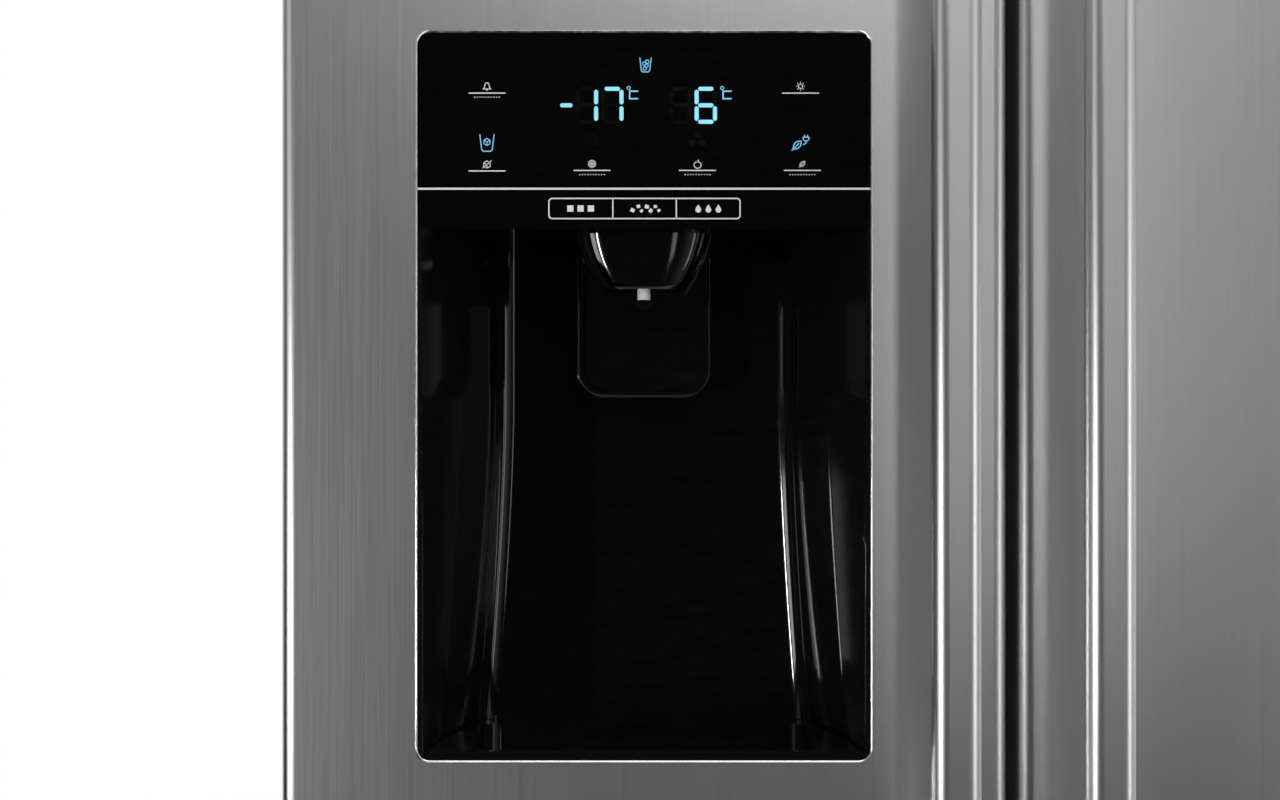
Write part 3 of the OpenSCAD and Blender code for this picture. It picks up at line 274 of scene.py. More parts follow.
def make_finishes():
    """Every CAD node with its material."""
    sheet = brushed("door_steel", (0.6, 0.6, 0.6), 0.36, (1500, 1500, 9))
    bar = brushed("handle_steel", (0.56, 0.56, 0.57), 0.36, (1500, 1500, 12))
    black = gloss("gloss_black", (0.0045, 0.0045, 0.005), 0.07)
    glass_face = gloss("panel_glass", (0.002, 0.002, 0.0022), 0.045, wave=6, depth=0.01)
    liner = moulded("liner_white", (0.80, 0.81, 0.82), 0.32, depth=0.03, change=0.02, coat=0.2)
    pale = moulded("pale_plastic", (0.74, 0.75, 0.76), 0.42)
    bins = clear("clear_plastic", (0.80, 0.89, 0.92), 0.14)
    zinced = zinc("galvanised_sheet", (0.56, 0.57, 0.58), 0.42)
    frame_paint = painted("frame_steel", (0.34, 0.35, 0.36), 0.45, metallic=0.5)
    insulation = foam("insulation", (0.60, 0.58, 0.50))
    gasket = moulded("gasket_rubber", (0.17, 0.175, 0.18), 0.55, grain=400, depth=0.12)
    caps = moulded("door_cap", (0.19, 0.192, 0.2), 0.40, depth=0.1)
    dark = moulded("dark_plastic", (0.085, 0.087, 0.09), 0.45, depth=0.14)
    looks = {
        sheet: ("freezer_door_skin", "fridge_door_skin"),
        bar: ("freezer_handle", "fridge_handle"),
        black: ("dispenser_housing", "ice_chute", "drip_tray"),
        glass_face: ("control_panel",),
        liner: ("freezer_liner", "fridge_liner", "freezer_door_liner", "fridge_door_liner", "mullion_cover"),
        pale: ("drain_pan", "water_valve", "evaporator_fan", "air_ducts", "ice_maker", "ice_tray", "flap_motor"),
        bins: ("ice_bucket", "freezer_drawer_upper", "freezer_drawer_lower", "crisper_upper", "crisper_lower",
               "freezer_bins", "fridge_bins"),
        zinced: ("rear_panel", "machine_cover"),
        frame_paint: ("base_frame", "bottom_hinges", "top_hinges"),
        insulation: ("cabinet_foam", "freezer_door_foam", "fridge_door_foam"),
        gasket: ("freezer_gasket", "fridge_gasket"),
        caps: ("freezer_door_caps", "fridge_door_caps"),
        dark: ("kick_plate", "hinge_covers"),
        painted("cabinet_paint", (0.27, 0.275, 0.285), 0.38): ("cabinet_shell",),
        painted("compressor_black", (0.02, 0.02, 0.021), 0.22, grain=400): ("compressor",),
        cast("condenser_metal", (0.20, 0.205, 0.21), 0.45): ("condenser",),
        cast("motor_metal", (0.30, 0.31, 0.32), 0.40): ("fan_motors",),
        moulded("fan_black", (0.04, 0.041, 0.045), 0.5): ("condenser_fan",),
        cast("coil_aluminium", (0.62, 0.63, 0.64), 0.34, metallic=1.0): ("evaporator",),
        cast("auger_steel", (0.60, 0.61, 0.62), 0.25, metallic=1.0): ("ice_auger",),
        clear("shelf_glass", (0.80, 0.93, 0.91), 0.02, ior=1.5, weight=1.0): ("shelf_glass",),
        moulded("shelf_trim", (0.74, 0.75, 0.76), 0.3): ("shelf_trims",),
        moulded("lamp_lens", (0.93, 0.93, 0.88), 0.3, depth=0.3): ("lamp_lenses",),
        moulded("roller_plastic", (0.045, 0.045, 0.05), 0.5): ("rear_rollers",),
        moulded("foot_plastic", (0.06, 0.06, 0.065), 0.5): ("foot_left", "foot_right"),
        cast("bright_trim", (0.80, 0.81, 0.82), 0.16, grain=120, depth=0.03, metallic=1.0): ("dispenser_trim",),
        board("circuit_board"): ("control_board",),
        moulded("nozzle_white", (0.78, 0.78, 0.76), 0.35): ("water_nozzle",),
        gloss("lever_black", (0.005, 0.005, 0.0055), 0.09): ("dispenser_lever",),
        cast("spring_steel", (0.56, 0.57, 0.58), 0.22, metallic=1.0): ("lever_spring",),
        moulded("flap_rubber", (0.03, 0.03, 0.032), 0.6): ("chute_flap",),
    }
    for material, names in looks.items():
        for name in names:
            for slot in NODES[name].material_slots:
                slot.material = material


# ---------------------------------------------------------------- marks on the touch panel

class Marks:
    """Thin raised print on the panel face. Points are millimetres right of and above the dispenser's middle."""

    depth = 0.00008

    def __init__(self, name, material, slot="panel_glass", lift=0.0):
        self.name, self.material, self.slot, self.lift = name, material, slot, lift
        self.bm = bmesh.new()

    def patch(self, points):
        """A filled convex outline, as a thin closed plate."""
        back = PANEL_FACE - 0.00001 - self.lift
        ring = [[self.bm.verts.new((MIDDLE_X + x * MM, y, MIDDLE_Z + z * MM)) for x, z in points]
                for y in (back, back - self.depth)]
        count = len(points)
        self.bm.faces.new(ring[0])
        self.bm.faces.new(list(reversed(ring[1])))
        for i in range(count):
            j = (i + 1) % count
            self.bm.faces.new((ring[0][j], ring[0][i], ring[1][i], ring[1][j]))

    def stroke(self, points, width, closed=False):
        """A line of the given width through the points, with square ends and mitred bends."""
        count = len(points)
        sides = []
        for i, (x, z) in enumerate(points):
            before = points[i - 1] if i or closed else None
            after = points[(i + 1) % count] if i < count - 1 or closed else None
            ways = []
            for a, b in ((before, (x, z)), ((x, z), after)):
                if a and b:
                    length = math.hypot(b[0] - a[0], b[1] - a[1]) or 1
                    ways.append(((b[0] - a[0]) / length, (b[1] - a[1]) / length))
            dx, dz = (sum(w[k] for w in ways) / len(ways) for k in (0, 1))
            size = math.hypot(dx, dz) or 1
            reach = width / 2 / max(0.4, size) / size
            sides.append(((x - dz * reach, z + dx * reach), (x + dz * reach, z - dx * reach)))
        last = count if closed else count - 1
        for i in range(last):
            (a, b), (c, d) = sides[i], sides[(i + 1) % count]
            self.patch([a, c, d, b])

    def circle(self, x, z, radius, width, steps=20):
        turns = [math.radians(360 * k / steps) for k in range(steps)]
        self.stroke([(x + radius * math.cos(t), z + radius * math.sin(t)) for t in turns], width, True)

    def dot(self, x, z, radius, steps=14):
        """A filled circle."""
        turns = [2 * math.pi * k / steps for k in range(steps)]
        self.patch([(x + radius * math.cos(t), z + radius * math.sin(t)) for t in turns])

    def box(self, x, z, width, height, radius, line):
        """The outline of a rounded rectangle."""
        points = []
        for cx, cz, turn in ((1, 1, 0), (-1, 1, 90), (-1, -1, 180), (1, -1, 270)):
            for k in range(6):
                t = math.radians(turn + 18 * k)
                points.append((x + cx * (width / 2 - radius) + radius * math.cos(t),
                               z + cz * (height / 2 - radius) + radius * math.sin(t)))
        self.stroke(points, line, True)

    def finish(self):
        """The marks so far, as one piece of the freezer door."""
        bmesh.ops.recalc_face_normals(self.bm, faces=self.bm.faces)
        piece = mesh_object(self.name, self.bm)
        piece.data.materials.append(self.material)
        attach(piece, "freezer_door")


SEGMENT = 9.0  # from a digit's middle to its top bar
BAR = 2.2  # width of a bar


def bar(marks, x, z, length, upright):
    """One segment of a digit: a bar with rounded ends."""
    half, r = length / 2 - BAR / 2, BAR / 2
    points = []
    for side in (1, -1):
        for k in range(7):
            t = math.radians(-90 + 30 * k)
            a, b = side * (half + r * math.cos(t)), side * r * math.sin(t)
            points.append((x + b, z + a) if upright else (x + a, z + b))
    marks.patch(points)


def digit(marks, x, z, lit_bars):
    """Seven bars named a to g, clockwise from the top, g in the middle."""
    wide = 5.0
    bars = {"a": (0, SEGMENT, 0), "b": (wide, SEGMENT / 2, 1), "c": (wide, -SEGMENT / 2, 1), "d": (0, -SEGMENT, 0),
            "e": (-wide, -SEGMENT / 2, 1), "f": (-wide, SEGMENT / 2, 1), "g": (0, 0, 0)}
    for key in lit_bars:
        dx, dz, upright = bars[key]
        bar(marks, x + dx, z + dz, 7.9 if upright else 8.4, upright)


def cube_icon(marks, x, z, size, width):
    """A cube drawn as a hexagon with its three inner edges."""
    corners = [(x + size * math.cos(math.radians(a)), z + size * math.sin(math.radians(a)))
               for a in range(30, 390, 60)]
    marks.stroke(corners, width, True)
    for k in (0, 2, 4):
        marks.stroke([(x, z), corners[k]], width)


def drop(marks, x, z, size):
    """A filled drop."""
    points = [(x, z + 1.9 * size)]
    for k in range(13):
        a = math.radians(30 - 240 * k / 12)
        points.append((x + size * math.cos(a), z + size * math.sin(a)))
    marks.patch(points)


def flake_icon(marks, x, z, size, width):
    """Snowflake: three lines with forked ends."""
    for a in range(0, 180, 60):
        c, s = math.cos(math.radians(a + 30)), math.sin(math.radians(a + 30))
        marks.stroke([(x - size * c, z - size * s), (x + size * c, z + size * s)], width)
        for end in (1, -1):
            for turn in (28, -28):
                t = math.radians(a + 30 + turn)
                tip = (x + end * size * math.cos(t) * 0.92, z + end * size * math.sin(t) * 0.92)
                marks.stroke([(x + end * size * c * 0.55, z + end * size * s * 0.55), tip], width)


def cup_icon(marks, x, z, width, height, line):
    """A tapered glass, open at the top."""
    top, foot, r = width / 2, width * 0.37, height * 0.10
    marks.stroke([(x - top, z + height / 2), (x - foot, z - height / 2 + r), (x - foot + r, z - height / 2),
                  (x + foot - r, z - height / 2), (x + foot, z - height / 2 + r), (x + top, z + height / 2)], line)


def bell_icon(marks, x, z, size, width):
    """A bell with its clapper."""
    points = [(x - size, z - size * 0.7), (x - size * 0.62, z - size * 0.2), (x - size * 0.55, z + size * 0.3)]
    points += [(x + size * 0.55 * math.cos(math.radians(a)), z + size * (0.3 + 0.6 * math.sin(math.radians(a))))
               for a in range(160, 0, -20)]
    points += [(x + size * 0.55, z + size * 0.3), (x + size * 0.62, z - size * 0.2), (x + size, z - size * 0.7)]
    marks.stroke(points, width, True)
    marks.dot(x, z - size * 0.98, size * 0.2)


def sun_icon(marks, x, z, size, width):
    """A circle with eight rays."""
    marks.circle(x, z, size * 0.48, width)
    for a in range(0, 360, 45):
        c, s = math.cos(math.radians(a)), math.sin(math.radians(a))
        marks.stroke([(x + size * 0.72 * c, z + size * 0.72 * s), (x + size * c, z + size * s)], width)


def leaf_icon(marks, x, z, size, width):
    """A pointed leaf with its rib, leaning right."""
    points = []
    for side in (1, -1):
        for k in range(10):
            along = k / 10 if side > 0 else 1 - k / 10
            across = side * 0.42 * math.sin(math.pi * along) ** 0.8
            u, v = (2 * along - 1) * size, across * size * 1.3
            points.append((x + (u - v) * 0.707, z + (u + v) * 0.707))
    marks.stroke(points, width, True)
    marks.stroke([(x - size * 1.0, z - size * 1.0), (x + size * 0.35, z + size * 0.35)], width)


def apple_icon(marks, x, z, size, width):
    """A round fruit with a dent and a stalk."""
    points = []
    for k in range(24):
        t = math.radians(90 + 15 * k)
        r = size * (0.86 - 0.22 * abs(math.sin(t / 2 - math.pi / 4 + math.pi / 2)) ** 9)
        points.append((x + r * math.cos(t), z - size * 0.12 + r * math.sin(t)))
    marks.stroke(points, width, True)
    marks.stroke([(x, z + size * 0.5), (x + size * 0.3, z + size * 1.1)], width)


def plug_icon(marks, x, z, size, width):
    """A mains plug with two pins and a piece of cord."""
    marks.stroke([(x - size, z + size * 0.3), (x + size, z + size * 0.3), (x + size, z - size * 0.4),
                  (x + size * 0.4, z - size), (x - size * 0.4, z - size), (x - size, z - size * 0.4)], width, True)
    for side in (-0.5, 0.5):
        marks.stroke([(x + side * size, z + size * 0.3), (x + side * size, z + size * 1.1)], width)
    marks.stroke([(x, z - size), (x, z - size * 1.8), (x - size * 1.1, z - size * 2.3)], width)


def fine_row(marks, x, z, width):
    """A row of small dots under a line, in place of small print."""
    pitch = 1.5
    count = round(width / pitch)
    for k in range(count):
        marks.dot(x + (k - (count - 1) / 2) * pitch, z, 0.34, 10)


def make_panel():
    """Display window with lit and unlit marks, the printed marks and the selector with its three fields."""
    blue = lit("display_blue", (0.30, 0.79, 1.0), 1.02)
    deep_blue = lit("icon_blue", (0.23, 0.63, 1.0), 1.0)
    white = printed("panel_white", (0.78, 0.78, 0.78))
    ghost = gloss("segment_off", (0.0045, 0.0045, 0.005), 0.10)
    window = gloss("display_window", (0.0022, 0.0022, 0.0025), 0.06)
    row_z, deg_z = 158.9, 168.3

    pane = Marks("display_window", window)
    pane.patch([(-54, 137), (55, 137), (55, 188), (-54, 188)])
    pane.finish()
    off = Marks("display_segments_off", ghost, lift=0.0001)
    digit(off, -31.15, row_z, "adefg")
    digit(off, -17.3, row_z, "defg")
    digit(off, 19.7, row_z, "abcdefg")
    digit(off, 33.7, row_z, "b")
    flake_icon(off, -28.4, 140.2, 4.0, 0.7)
    for a in range(90, 450, 120):
        off.dot(28.9 + 3.2 * math.cos(math.radians(a)), 140 + 3.2 * math.sin(math.radians(a)), 2.0)
    off.finish()

    on = Marks("display_digits", blue, lift=0.0002)
    bar(on, -42.4, row_z, 6.8, False)
    digit(on, -31.15, row_z, "bc")
    digit(on, -17.3, row_z, "abc")
    digit(on, 33.7, row_z, "acdefg")
    on.finish()

    small = Marks("display_icons", deep_blue, lift=0.0002)
    for x in (-8.4, 42.6):
        small.circle(x, deg_z, 0.85, 0.42)
        small.stroke([(x + 5.2, deg_z - 1.7), (x + 0.55, deg_z - 1.7), (x + 0.55, deg_z - 5.8),
                      (x + 5.2, deg_z - 5.8)], 0.75)
    cup_icon(small, 0.8, 181.0, 6.2, 7.8, 0.5)
    for x, z in ((-0.7, 0.6), (0.9, 1.7), (0.6, -0.4), (-0.4, -2.0)):
        small.circle(0.8 + x, 181.0 + z, 0.95, 0.4, steps=14)
    cup_icon(small, -85.7, 138.4, 7.8, 9.2, 0.5)
    cube_icon(small, -85.7, 138.9, 1.9, 0.42)
    leaf_icon(small, 83.6, 137.2, 3.0, 0.5)
    plug_icon(small, 88.4, 141.0, 1.6, 0.45)
    small.finish()

    ink = Marks("panel_print", white)
    for x, z in ((-85.7, 165.6), (85.4, 165.6), (-85.7, 123.1), (-28.4, 123.4), (29.2, 123.4), (86.4, 123.4)):
        ink.stroke([(x - 10.1, z), (x + 10.1, z)], 0.6)
    for x, z in ((-85.7, 163.4), (-28.4, 121.1), (29.2, 121.1), (86.4, 121.1)):
        fine_row(ink, x, z, 15)
    bell_icon(ink, -85.7, 169.3, 2.1, 0.45)
    sun_icon(ink, 85.4, 169.3, 2.4, 0.45)
    cube_icon(ink, -85.7, 126.6, 2.0, 0.42)
    ink.stroke([(-88.2, 124.6), (-83.2, 128.8)], 0.42)
    flake_icon(ink, -28.4, 127.0, 2.3, 0.42)
    apple_icon(ink, 29.2, 126.8, 2.3, 0.45)
    leaf_icon(ink, 86.4, 126.9, 1.9, 0.42)
    ink.box(0.25, 102.6, 104.3, 11.0, 1.8, 0.7)
    for x in (-17.0, 17.6):
        ink.stroke([(x, 97.1), (x, 108.1)], 0.7)
    for x in (-40.2, -34.6, -29.0):
        ink.patch([(x - 1.7, 100.9), (x + 1.7, 100.9), (x + 1.7, 104.3), (x - 1.7, 104.3)])
    for x, z, r, turn in ((-6.6, 101.7, 1.5, 10), (-3.4, 103.8, 1.3, 50), (-1.7, 101.3, 1.1, 80), (1.2, 103.6, 1.5, 20),
                          (3.3, 101.4, 1.4, 95), (5.9, 103.7, 1.2, 35), (7.8, 101.5, 1.1, 60)):
        ink.patch([(0.3 + x + r * math.cos(math.radians(turn + a)), z + r * math.sin(math.radians(turn + a)))
                   for a in (0, 100, 190, 285)])
    for x in (29.6, 35.1, 40.6):
        drop(ink, x, 101.9, 1.55)
    ink.finish()


# ---------------------------------------------------------------- alcove

def round_corner(a, b, c, radius, steps):
    """Points of a round of the given radius in the corner a-b-c of a flat outline."""
    a, b, c = Vector(a), Vector(b), Vector(c)
    u, v = (a - b).normalized(), (c - b).normalized()
    half = math.acos(max(-1, min(1, u.dot(v)))) / 2
    middle = b + (u + v).normalized() * radius / math.sin(half)
    p, q = b + u * radius / math.tan(half) - middle, b + v * radius / math.tan(half) - middle
    return [middle + radius * (p * (1 - k / steps) + q * (k / steps)).normalized() for k in range(steps + 1)]


ALCOVE_FLOOR = TRIM_LOW.z + 0.0036
ALCOVE_TALL = PANEL_LOW.z - ALCOVE_FLOOR
FLARE = 11  # how much wider each side is at the floor than at the top
FLARE_TO = 0.66  # share of the height below which the sides flare


def flare_left(share):
    """From 1 at the floor to 0 where the flare ends."""
    return max(0.0, 1 - share / FLARE_TO)


def alcove_plan(share, gap=0.0):
    """Half the lining's plan at a share of the alcove's height, gap further in: its lip, its bend and its corner.
    Millimetres from the middle of the mouth. The bend stands further off the wall, clear of the wall's facets."""
    flare = FLARE * flare_left(share) ** 1.5
    skin, bulge = 0.45 + gap, 1.1 * min(1, share * 8)
    a, b = Vector((121.4 - skin, 0.6)), Vector((106 + flare - skin - bulge, 36))
    c, d = Vector((87 + flare - skin, 98 - skin)), Vector((0, 98 - skin))
    before, after = b + (a - b).normalized() * 3, b + (c - b).normalized() * 3
    bend = [before * (1 - k / 8) ** 2 + b * (k / 4 * (1 - k / 8)) + after * (k / 8) ** 2 for k in range(9)]
    return a, bend, round_corner(b, c, d, 14, 16)


def make_alcove():
    """Smooth gloss lining, a hair in front of the alcove's moulded wall. Its normals follow the real moulding: a
    bevel of constant slope behind the lip, a soft edge, a flatter wall and a round corner to the back."""
    rows = 48
    layers = [[], []]
    normals = []
    bm = bmesh.new()
    for j in range(rows + 1):
        share = j / rows
        z = ALCOVE_FLOOR + ALCOVE_TALL * share
        left = flare_left(share)
        lean = -0.3 * FLARE * 1.5 * left ** 0.5 / FLARE_TO / (ALCOVE_TALL / MM)
        bevel, wall = 23.5, 17 - 5.7 * left ** 1.5
        lip, bend, corner = alcove_plan(share)
        line = [(lip, bevel, 0)]
        line += [(point, bevel + (wall - bevel) * k / 8, lean) for k, point in enumerate(bend)]
        line += [(point, wall + (90 - wall) * k / 16, lean) for k, point in enumerate(corner)]
        line = [(*item, 1) for item in line] + [(*item, -1) for item in line[::-1]]
        for layer, out in enumerate((0, 0.1)):
            row = []
            for p, turn, slope, side in line:
                turn = math.radians(turn)
                normal = Vector((-side * math.cos(turn), -math.sin(turn), math.cos(turn) * slope)).normalized()
                place = Vector((MIDDLE_X + side * p.x * MM, FRONT + p.y * MM, z)) - normal * out * MM
                row.append(bm.verts.new(place))
                normals.append(normal if layer == 0 else -normal)
            layers[layer].append(row)
    for layer, grid in enumerate(layers):
        for low, high in zip(grid, grid[1:]):
            for i in range(len(low) - 1):
                face = [low[i], low[i + 1], high[i + 1], high[i]]
                bm.faces.new(face[::-1] if layer == 0 else face)
    rim, rim_behind = ([row[0] for row in grid] + grid[-1][1:] + [row[-1] for row in grid[-2::-1]] + grid[0][-2:0:-1]
                       for grid in layers)
    for k in range(len(rim)):
        n = (k + 1) % len(rim)
        bm.faces.new((rim[k], rim_behind[k], rim_behind[n], rim[n]))
    piece = mesh_object("alcove_lining", bm, crease=181)
    piece.data.normals_split_custom_set_from_vertices(normals)
    piece.data.materials.append(NODES["dispenser_housing"].material_slots[0].material)
    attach(piece, "freezer_door")


def make_tray():
    """Drip tray that follows the lining with a gap all round, also when it is lifted."""
    lift, base, turn_r = 0.020, 0.003, 12
    low, high = span("drip_tray")
    lip, bend, corner = alcove_plan((high.z + lift - ALCOVE_FLOOR) / ALCOVE_TALL, gap=0.45)
    front = (low.y - FRONT) / MM
    edge = lip + (bend[0] - lip) * ((front - lip.y) / (bend[0].y - lip.y))
    half = [edge] + bend + corner
    plan = half + [Vector((-p.x, p.y)) for p in half[::-1] if p.x > 0]
    deep, wide = (front + 3.6, (high.y - FRONT) / MM - 11.6), 95
    dish = []
    for sx, y, turn in ((1, deep[0], -90), (1, deep[1], 0), (-1, deep[1], 90), (-1, deep[0], 180)):
        for k in range(9):
            a = math.radians(turn + 90 * k / 8)
            inward = turn_r if y == deep[0] else -turn_r
            dish.append(Vector((sx * (wide - turn_r) + turn_r * math.cos(a), y + inward + turn_r * math.sin(a))))
    bm = bmesh.new()

    def ring(path, z):
        """Vertices and edges of a closed path at height z."""
        points = [bm.verts.new((MIDDLE_X + p.x * MM, FRONT + p.y * MM, z)) for p in path]
        return points, [bm.edges.new((v, points[(k + 1) % len(points)])) for k, v in enumerate(points)]

    foot, rim = ring(plan, low.z)[0], ring(plan, high.z)
    well, brim = ring(dish, low.z + base)[0], ring(dish, high.z)
    join_rings(bm, foot, rim[0])
    join_rings(bm, well, brim[0])
    bm.faces.new(foot)
    bm.faces.new(well)
    bmesh.ops.triangle_fill(bm, use_beauty=True, edges=rim[1] + brim[1])
    bmesh.ops.recalc_face_normals(bm, faces=bm.faces)
    tray = mesh_object("tray_dish", bm, crease=30)
    tray.data.materials.append(NODES["drip_tray"].material_slots[0].material)
    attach(tray, "drip_tray")
    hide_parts("drip_tray")


def ring_path(width, height, radius):
    """Points and outward directions of a rounded rectangle round the dispenser's middle, in millimetres."""
    path = []
    for sx, sz, turn in ((1, 1, 0), (-1, 1, 90), (-1, -1, 180), (1, -1, 270)):
        for k in range(11):
            a = math.radians(turn + 9 * k)
            out = Vector((math.cos(a), math.sin(a)))
            path.append((Vector((sx * (width / 2 - radius), sz * (height / 2 - radius))) + radius * out, out))
    return path


def make_trim():
    """Bright bead round the dispenser, which sinks into the steel along the top, and a painted highlight line across
    the panel.
    """
    wide, high = (TRIM_HIGH.x - TRIM_LOW.x) / MM, (TRIM_HIGH.z - TRIM_LOW.z) / MM
    out = (FRONT - TRIM_LOW.y) / MM
    section = [(0, -0.3)] + [(0.7 - 0.7 * math.cos(math.radians(a)), out * math.sin(math.radians(a)))
                             for a in range(0, 181, 18)] + [(1.4, -0.3)]
    bm = bmesh.new()
    rows = []
    for p, o in ring_path(wide, high, 8):
        rise = 1 - 0.99 * max(0, o.y) ** 2
        rows.append([bm.verts.new((MIDDLE_X + (p.x - o.x * inset) * MM, FRONT - (up * rise if up > 0 else up) * MM,
                                   MIDDLE_Z + (p.y - o.y * inset) * MM)) for inset, up in section])
    for j, row in enumerate(rows):
        join_rings(bm, row, rows[(j + 1) % len(rows)])
    bmesh.ops.recalc_face_normals(bm, faces=bm.faces)
    bead = mesh_object("dispenser_bead", bm, crease=60)
    bead.data.materials.append(NODES["dispenser_trim"].material_slots[0].material)
    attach(bead, "freezer_door")
    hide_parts("dispenser_trim")
    # The line across the panel is white print that paints the highlight a polished trim edge would catch.
    line = Marks("painted_highlight_line", printed("painted_highlight_white", (0.80, 0.80, 0.80), 0.3), "bright_trim", lift=0.00022)
    line.depth = 0.0003
    end, below, above = 123.5, 112.8, 113.9
    line.patch([(-end, below), (end, below), (end, above), (-end, above)])
    line.finish()


def make_chute():
    """Smooth funnel over the glass: flattened at the front, round at the sides, with a flat back and a rolled lip."""
    low, high = span("ice_chute")
    axis_y = low.y + 0.0385
    tall = (high.z - low.z) / MM
    flat = (high.y - axis_y) / MM

    def wall(inset):
        """Half width, depth and height of the funnel's wall, from its lip up."""
        rows = []
        for k in range(17):
            share = k / 16
            wide = 24.5 + 14 * share + 2 * math.sin(math.pi * share)
            rows.append((wide - inset, 23 + 4 * share - inset, tall * share))
        return rows

    profile = wall(2)[::-1] + [(23.5, 22, 0)] + wall(0)[1:]
    bm = bmesh.new()
    turns, square = 128, 0.62
    grid = []
    for wide, deep, z in profile:
        ring = []
        for k in range(turns):
            a = 2 * math.pi * k / turns
            c, s = math.cos(a), math.sin(a)
            if s < 0:
                x, y = math.copysign(abs(c) ** square, c) * wide, -deep * abs(s) ** square
            else:
                x, y = wide * c, min(wide * s, flat)
            ring.append(bm.verts.new((MIDDLE_X + x * MM, axis_y + y * MM, low.z + z * MM)))
        grid.append(ring)
    grid.append(grid[0])
    for a, b in zip(grid, grid[1:]):
        join_rings(bm, a, b)
    bmesh.ops.recalc_face_normals(bm, faces=bm.faces)
    funnel = mesh_object("chute_funnel", bm, crease=50)
    funnel.data.materials.append(NODES["ice_chute"].material_slots[0].material)
    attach(funnel, "freezer_door")
    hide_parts("ice_chute")


def make_lever_rim():
    """Rounded edge round the lever's pad."""
    low, high = span("dispenser_lever")
    round_r, edge, short = 16, 0.9, 4
    wide, tall = (high.x - low.x) / MM / 2, (high.z - low.z) / MM
    path = [(Vector((wide, tall - short)), Vector((1, 0)))]
    for sx, turn in ((1, 0), (-1, -90)):
        for k in range(13):
            a = math.radians(turn - 90 * k / 12)
            out = Vector((math.cos(a), math.sin(a)))
            path.append((Vector((sx * (wide - round_r), round_r)) + round_r * out, out))
    path.append((Vector((-wide, tall - short)), Vector((-1, 0))))
    bm = bmesh.new()
    rows = []
    for p, out in path:
        row = []
        for k in range(9):
            a = math.radians(180 * k / 8)
            at = p - out * (edge - edge * math.cos(a))
            row.append(bm.verts.new((MIDDLE_X + at.x * MM, low.y - edge * math.sin(a) * MM, low.z + at.y * MM)))
        rows.append(row)
    for a, b in zip(rows, rows[1:]):
        join_rings(bm, a, b)
    bm.faces.new(rows[0][::-1])
    bm.faces.new(rows[-1])
    bmesh.ops.recalc_face_normals(bm, faces=bm.faces)
    bead = mesh_object("lever_rim", bm, crease=60)
    bead.data.materials.append(NODES["dispenser_lever"].material_slots[0].material)
    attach(bead, "dispenser_lever")


# ---------------------------------------------------------------- surroundings

def make_floor():
    """Pale floor under the appliance, fading out before it reaches the horizon."""
    bm = bmesh.new()
    bmesh.ops.create_circle(bm, cap_ends=True, segments=96, radius=3.0)
    floor = mesh_object("studio_floor", bm)
    floor.location = (0, 0, -0.0002)
    f = Finish("studio_floor")
    slow = f.noise(1.5, detail=3)
    f.principled(base_color=f.tone(slow, (0.80, 0.80, 0.80), 0.01), roughness=0.8)
    here = f.add("TexCoord", output="Object")
    far = f.add("VectorMath", {0: here}, output="Value", operation="LENGTH")
    fade = f.add("MapRange", {"Value": far, "From Min": 0.8, "From Max": 1.7}, interpolation_type="SMOOTHSTEP")
    none = f.tree.nodes.new("ShaderNodeBsdfTransparent")
    both = f.add("MixShader", {0: fade})
    mixer = both.node
    f.tree.links.new(f.shader.outputs[0], mixer.inputs[1])
    f.tree.links.new(none.outputs[0], mixer.inputs[2])
    f.tree.links.new(both, f.tree.nodes["Material Output"].inputs["Surface"])
    floor.data.materials.append(f.material)


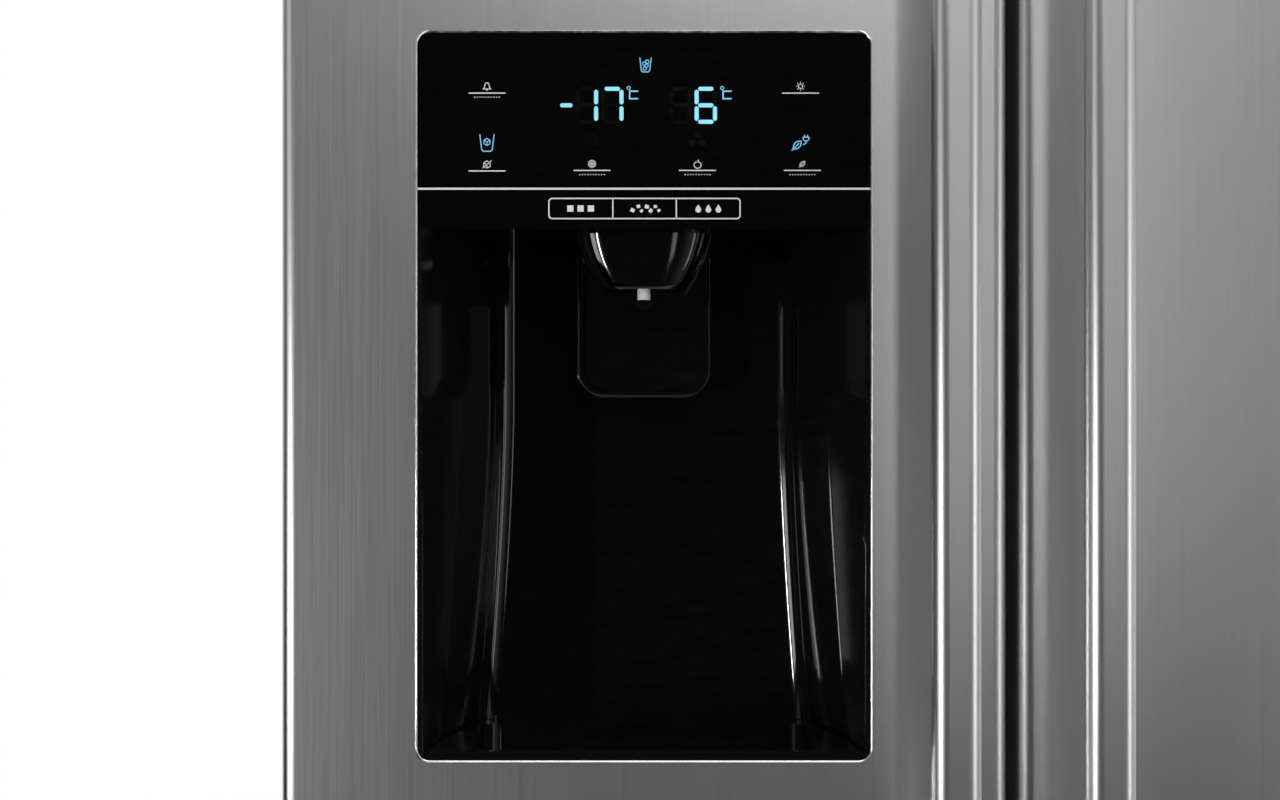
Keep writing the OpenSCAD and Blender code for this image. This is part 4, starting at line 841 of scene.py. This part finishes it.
def make_world():
    """Soft studio: dark straight in front of the appliance, brighter up and to the right, white behind it."""
    world = bpy.data.worlds.new("studio")
    bpy.context.scene.world = world
    world.use_nodes = True
    tree = world.node_tree

    def add(kind, inputs=None, **settings):
        """A new node with its inputs linked or set."""
        node = tree.nodes.new("ShaderNode" + kind)
        for key, value in settings.items():
            setattr(node, key, value)
        for key, value in (inputs or {}).items():
            if isinstance(value, bpy.types.NodeSocket):
                tree.links.new(value, node.inputs[key])
            else:
                node.inputs[key].default_value = value
        return node

    way = add("TexCoord").outputs["Generated"]
    ahead = add("VectorMath", {0: way, 1: Vector((-0.10, -1.0, -0.12)).normalized()}, operation="DOT_PRODUCT")
    ring = add("MapRange", {"Value": ahead.outputs["Value"], "From Min": 0.55, "From Max": 0.90,
                            "To Min": 1.0, "To Max": 0.02}, interpolation_type="SMOOTHSTEP")
    slope = add("VectorMath", {0: way, 1: Vector((0.35, 0.0, 0.8))}, operation="DOT_PRODUCT")
    level = add("Math", {0: slope.outputs["Value"], 1: 0.32}, operation="ADD")
    power = add("Math", {0: ring.outputs["Result"], 1: level.outputs["Value"]}, operation="MULTIPLY")
    light = add("Background", {"Color": (1, 1, 1, 1), "Strength": power.outputs["Value"]})
    seen = add("Background", {"Color": (1, 1, 1, 1), "Strength": 1.0})
    ray = add("LightPath").outputs
    behind = add("MapRange", {"Value": ahead.outputs["Value"], "From Min": -0.5, "From Max": -0.2,
                              "To Min": 1.0, "To Max": 0.0})
    mirrored = add("Math", {0: ray["Is Glossy Ray"], 1: ray["Is Transmission Ray"]}, operation="MAXIMUM")
    back = add("Math", {0: mirrored.outputs["Value"], 1: behind.outputs["Result"]}, operation="MULTIPLY")
    shown = add("Math", {0: ray["Is Camera Ray"], 1: back.outputs["Value"]}, operation="MAXIMUM")
    mix = add("MixShader", {0: shown.outputs["Value"], 1: light.outputs[0], 2: seen.outputs[0]})
    tree.links.new(mix.outputs[0], tree.nodes["World Output"].inputs["Surface"])
    bpy.context.scene.view_settings.view_transform = "Standard"


make_camera()
make_finishes()
make_panel()
make_alcove()
make_tray()
make_trim()
make_chute()
make_lever_rim()
make_floor()
make_world()
area_light("front_softbox", (-0.05, -2.4, 2.38), (-0.1, -0.3, 1.2), (1.0, 0.6), 4.4)
area_light("front_strip", (0.40, -2.45, 1.35), (-0.12, -0.3, 1.1), (0.2, 1.3), 2.0)
area_light("right_panel", (1.65, -1.37, 0.88), (-0.3, -0.3, 1.0), (0.45, 1.1), 5)
area_light("left_panel", (-1.68, -1.12, 0.80), (-0.2, -0.25, 1.05), (0.42, 0.38), 3)
area_light("low_strip", (-1.46, -1.48, 0.79), (-0.2, -0.25, 1.0), (0.04, 0.36), 8.5)
area_light("left_fill", (-2.6, -1.6, 2.0), (0, 0, 1.0), (1.2, 1.8), 4)
area_light("top_light", (0, -1.2, 3.6), (0, 0, 1.0), (2.4, 1.6), 30)
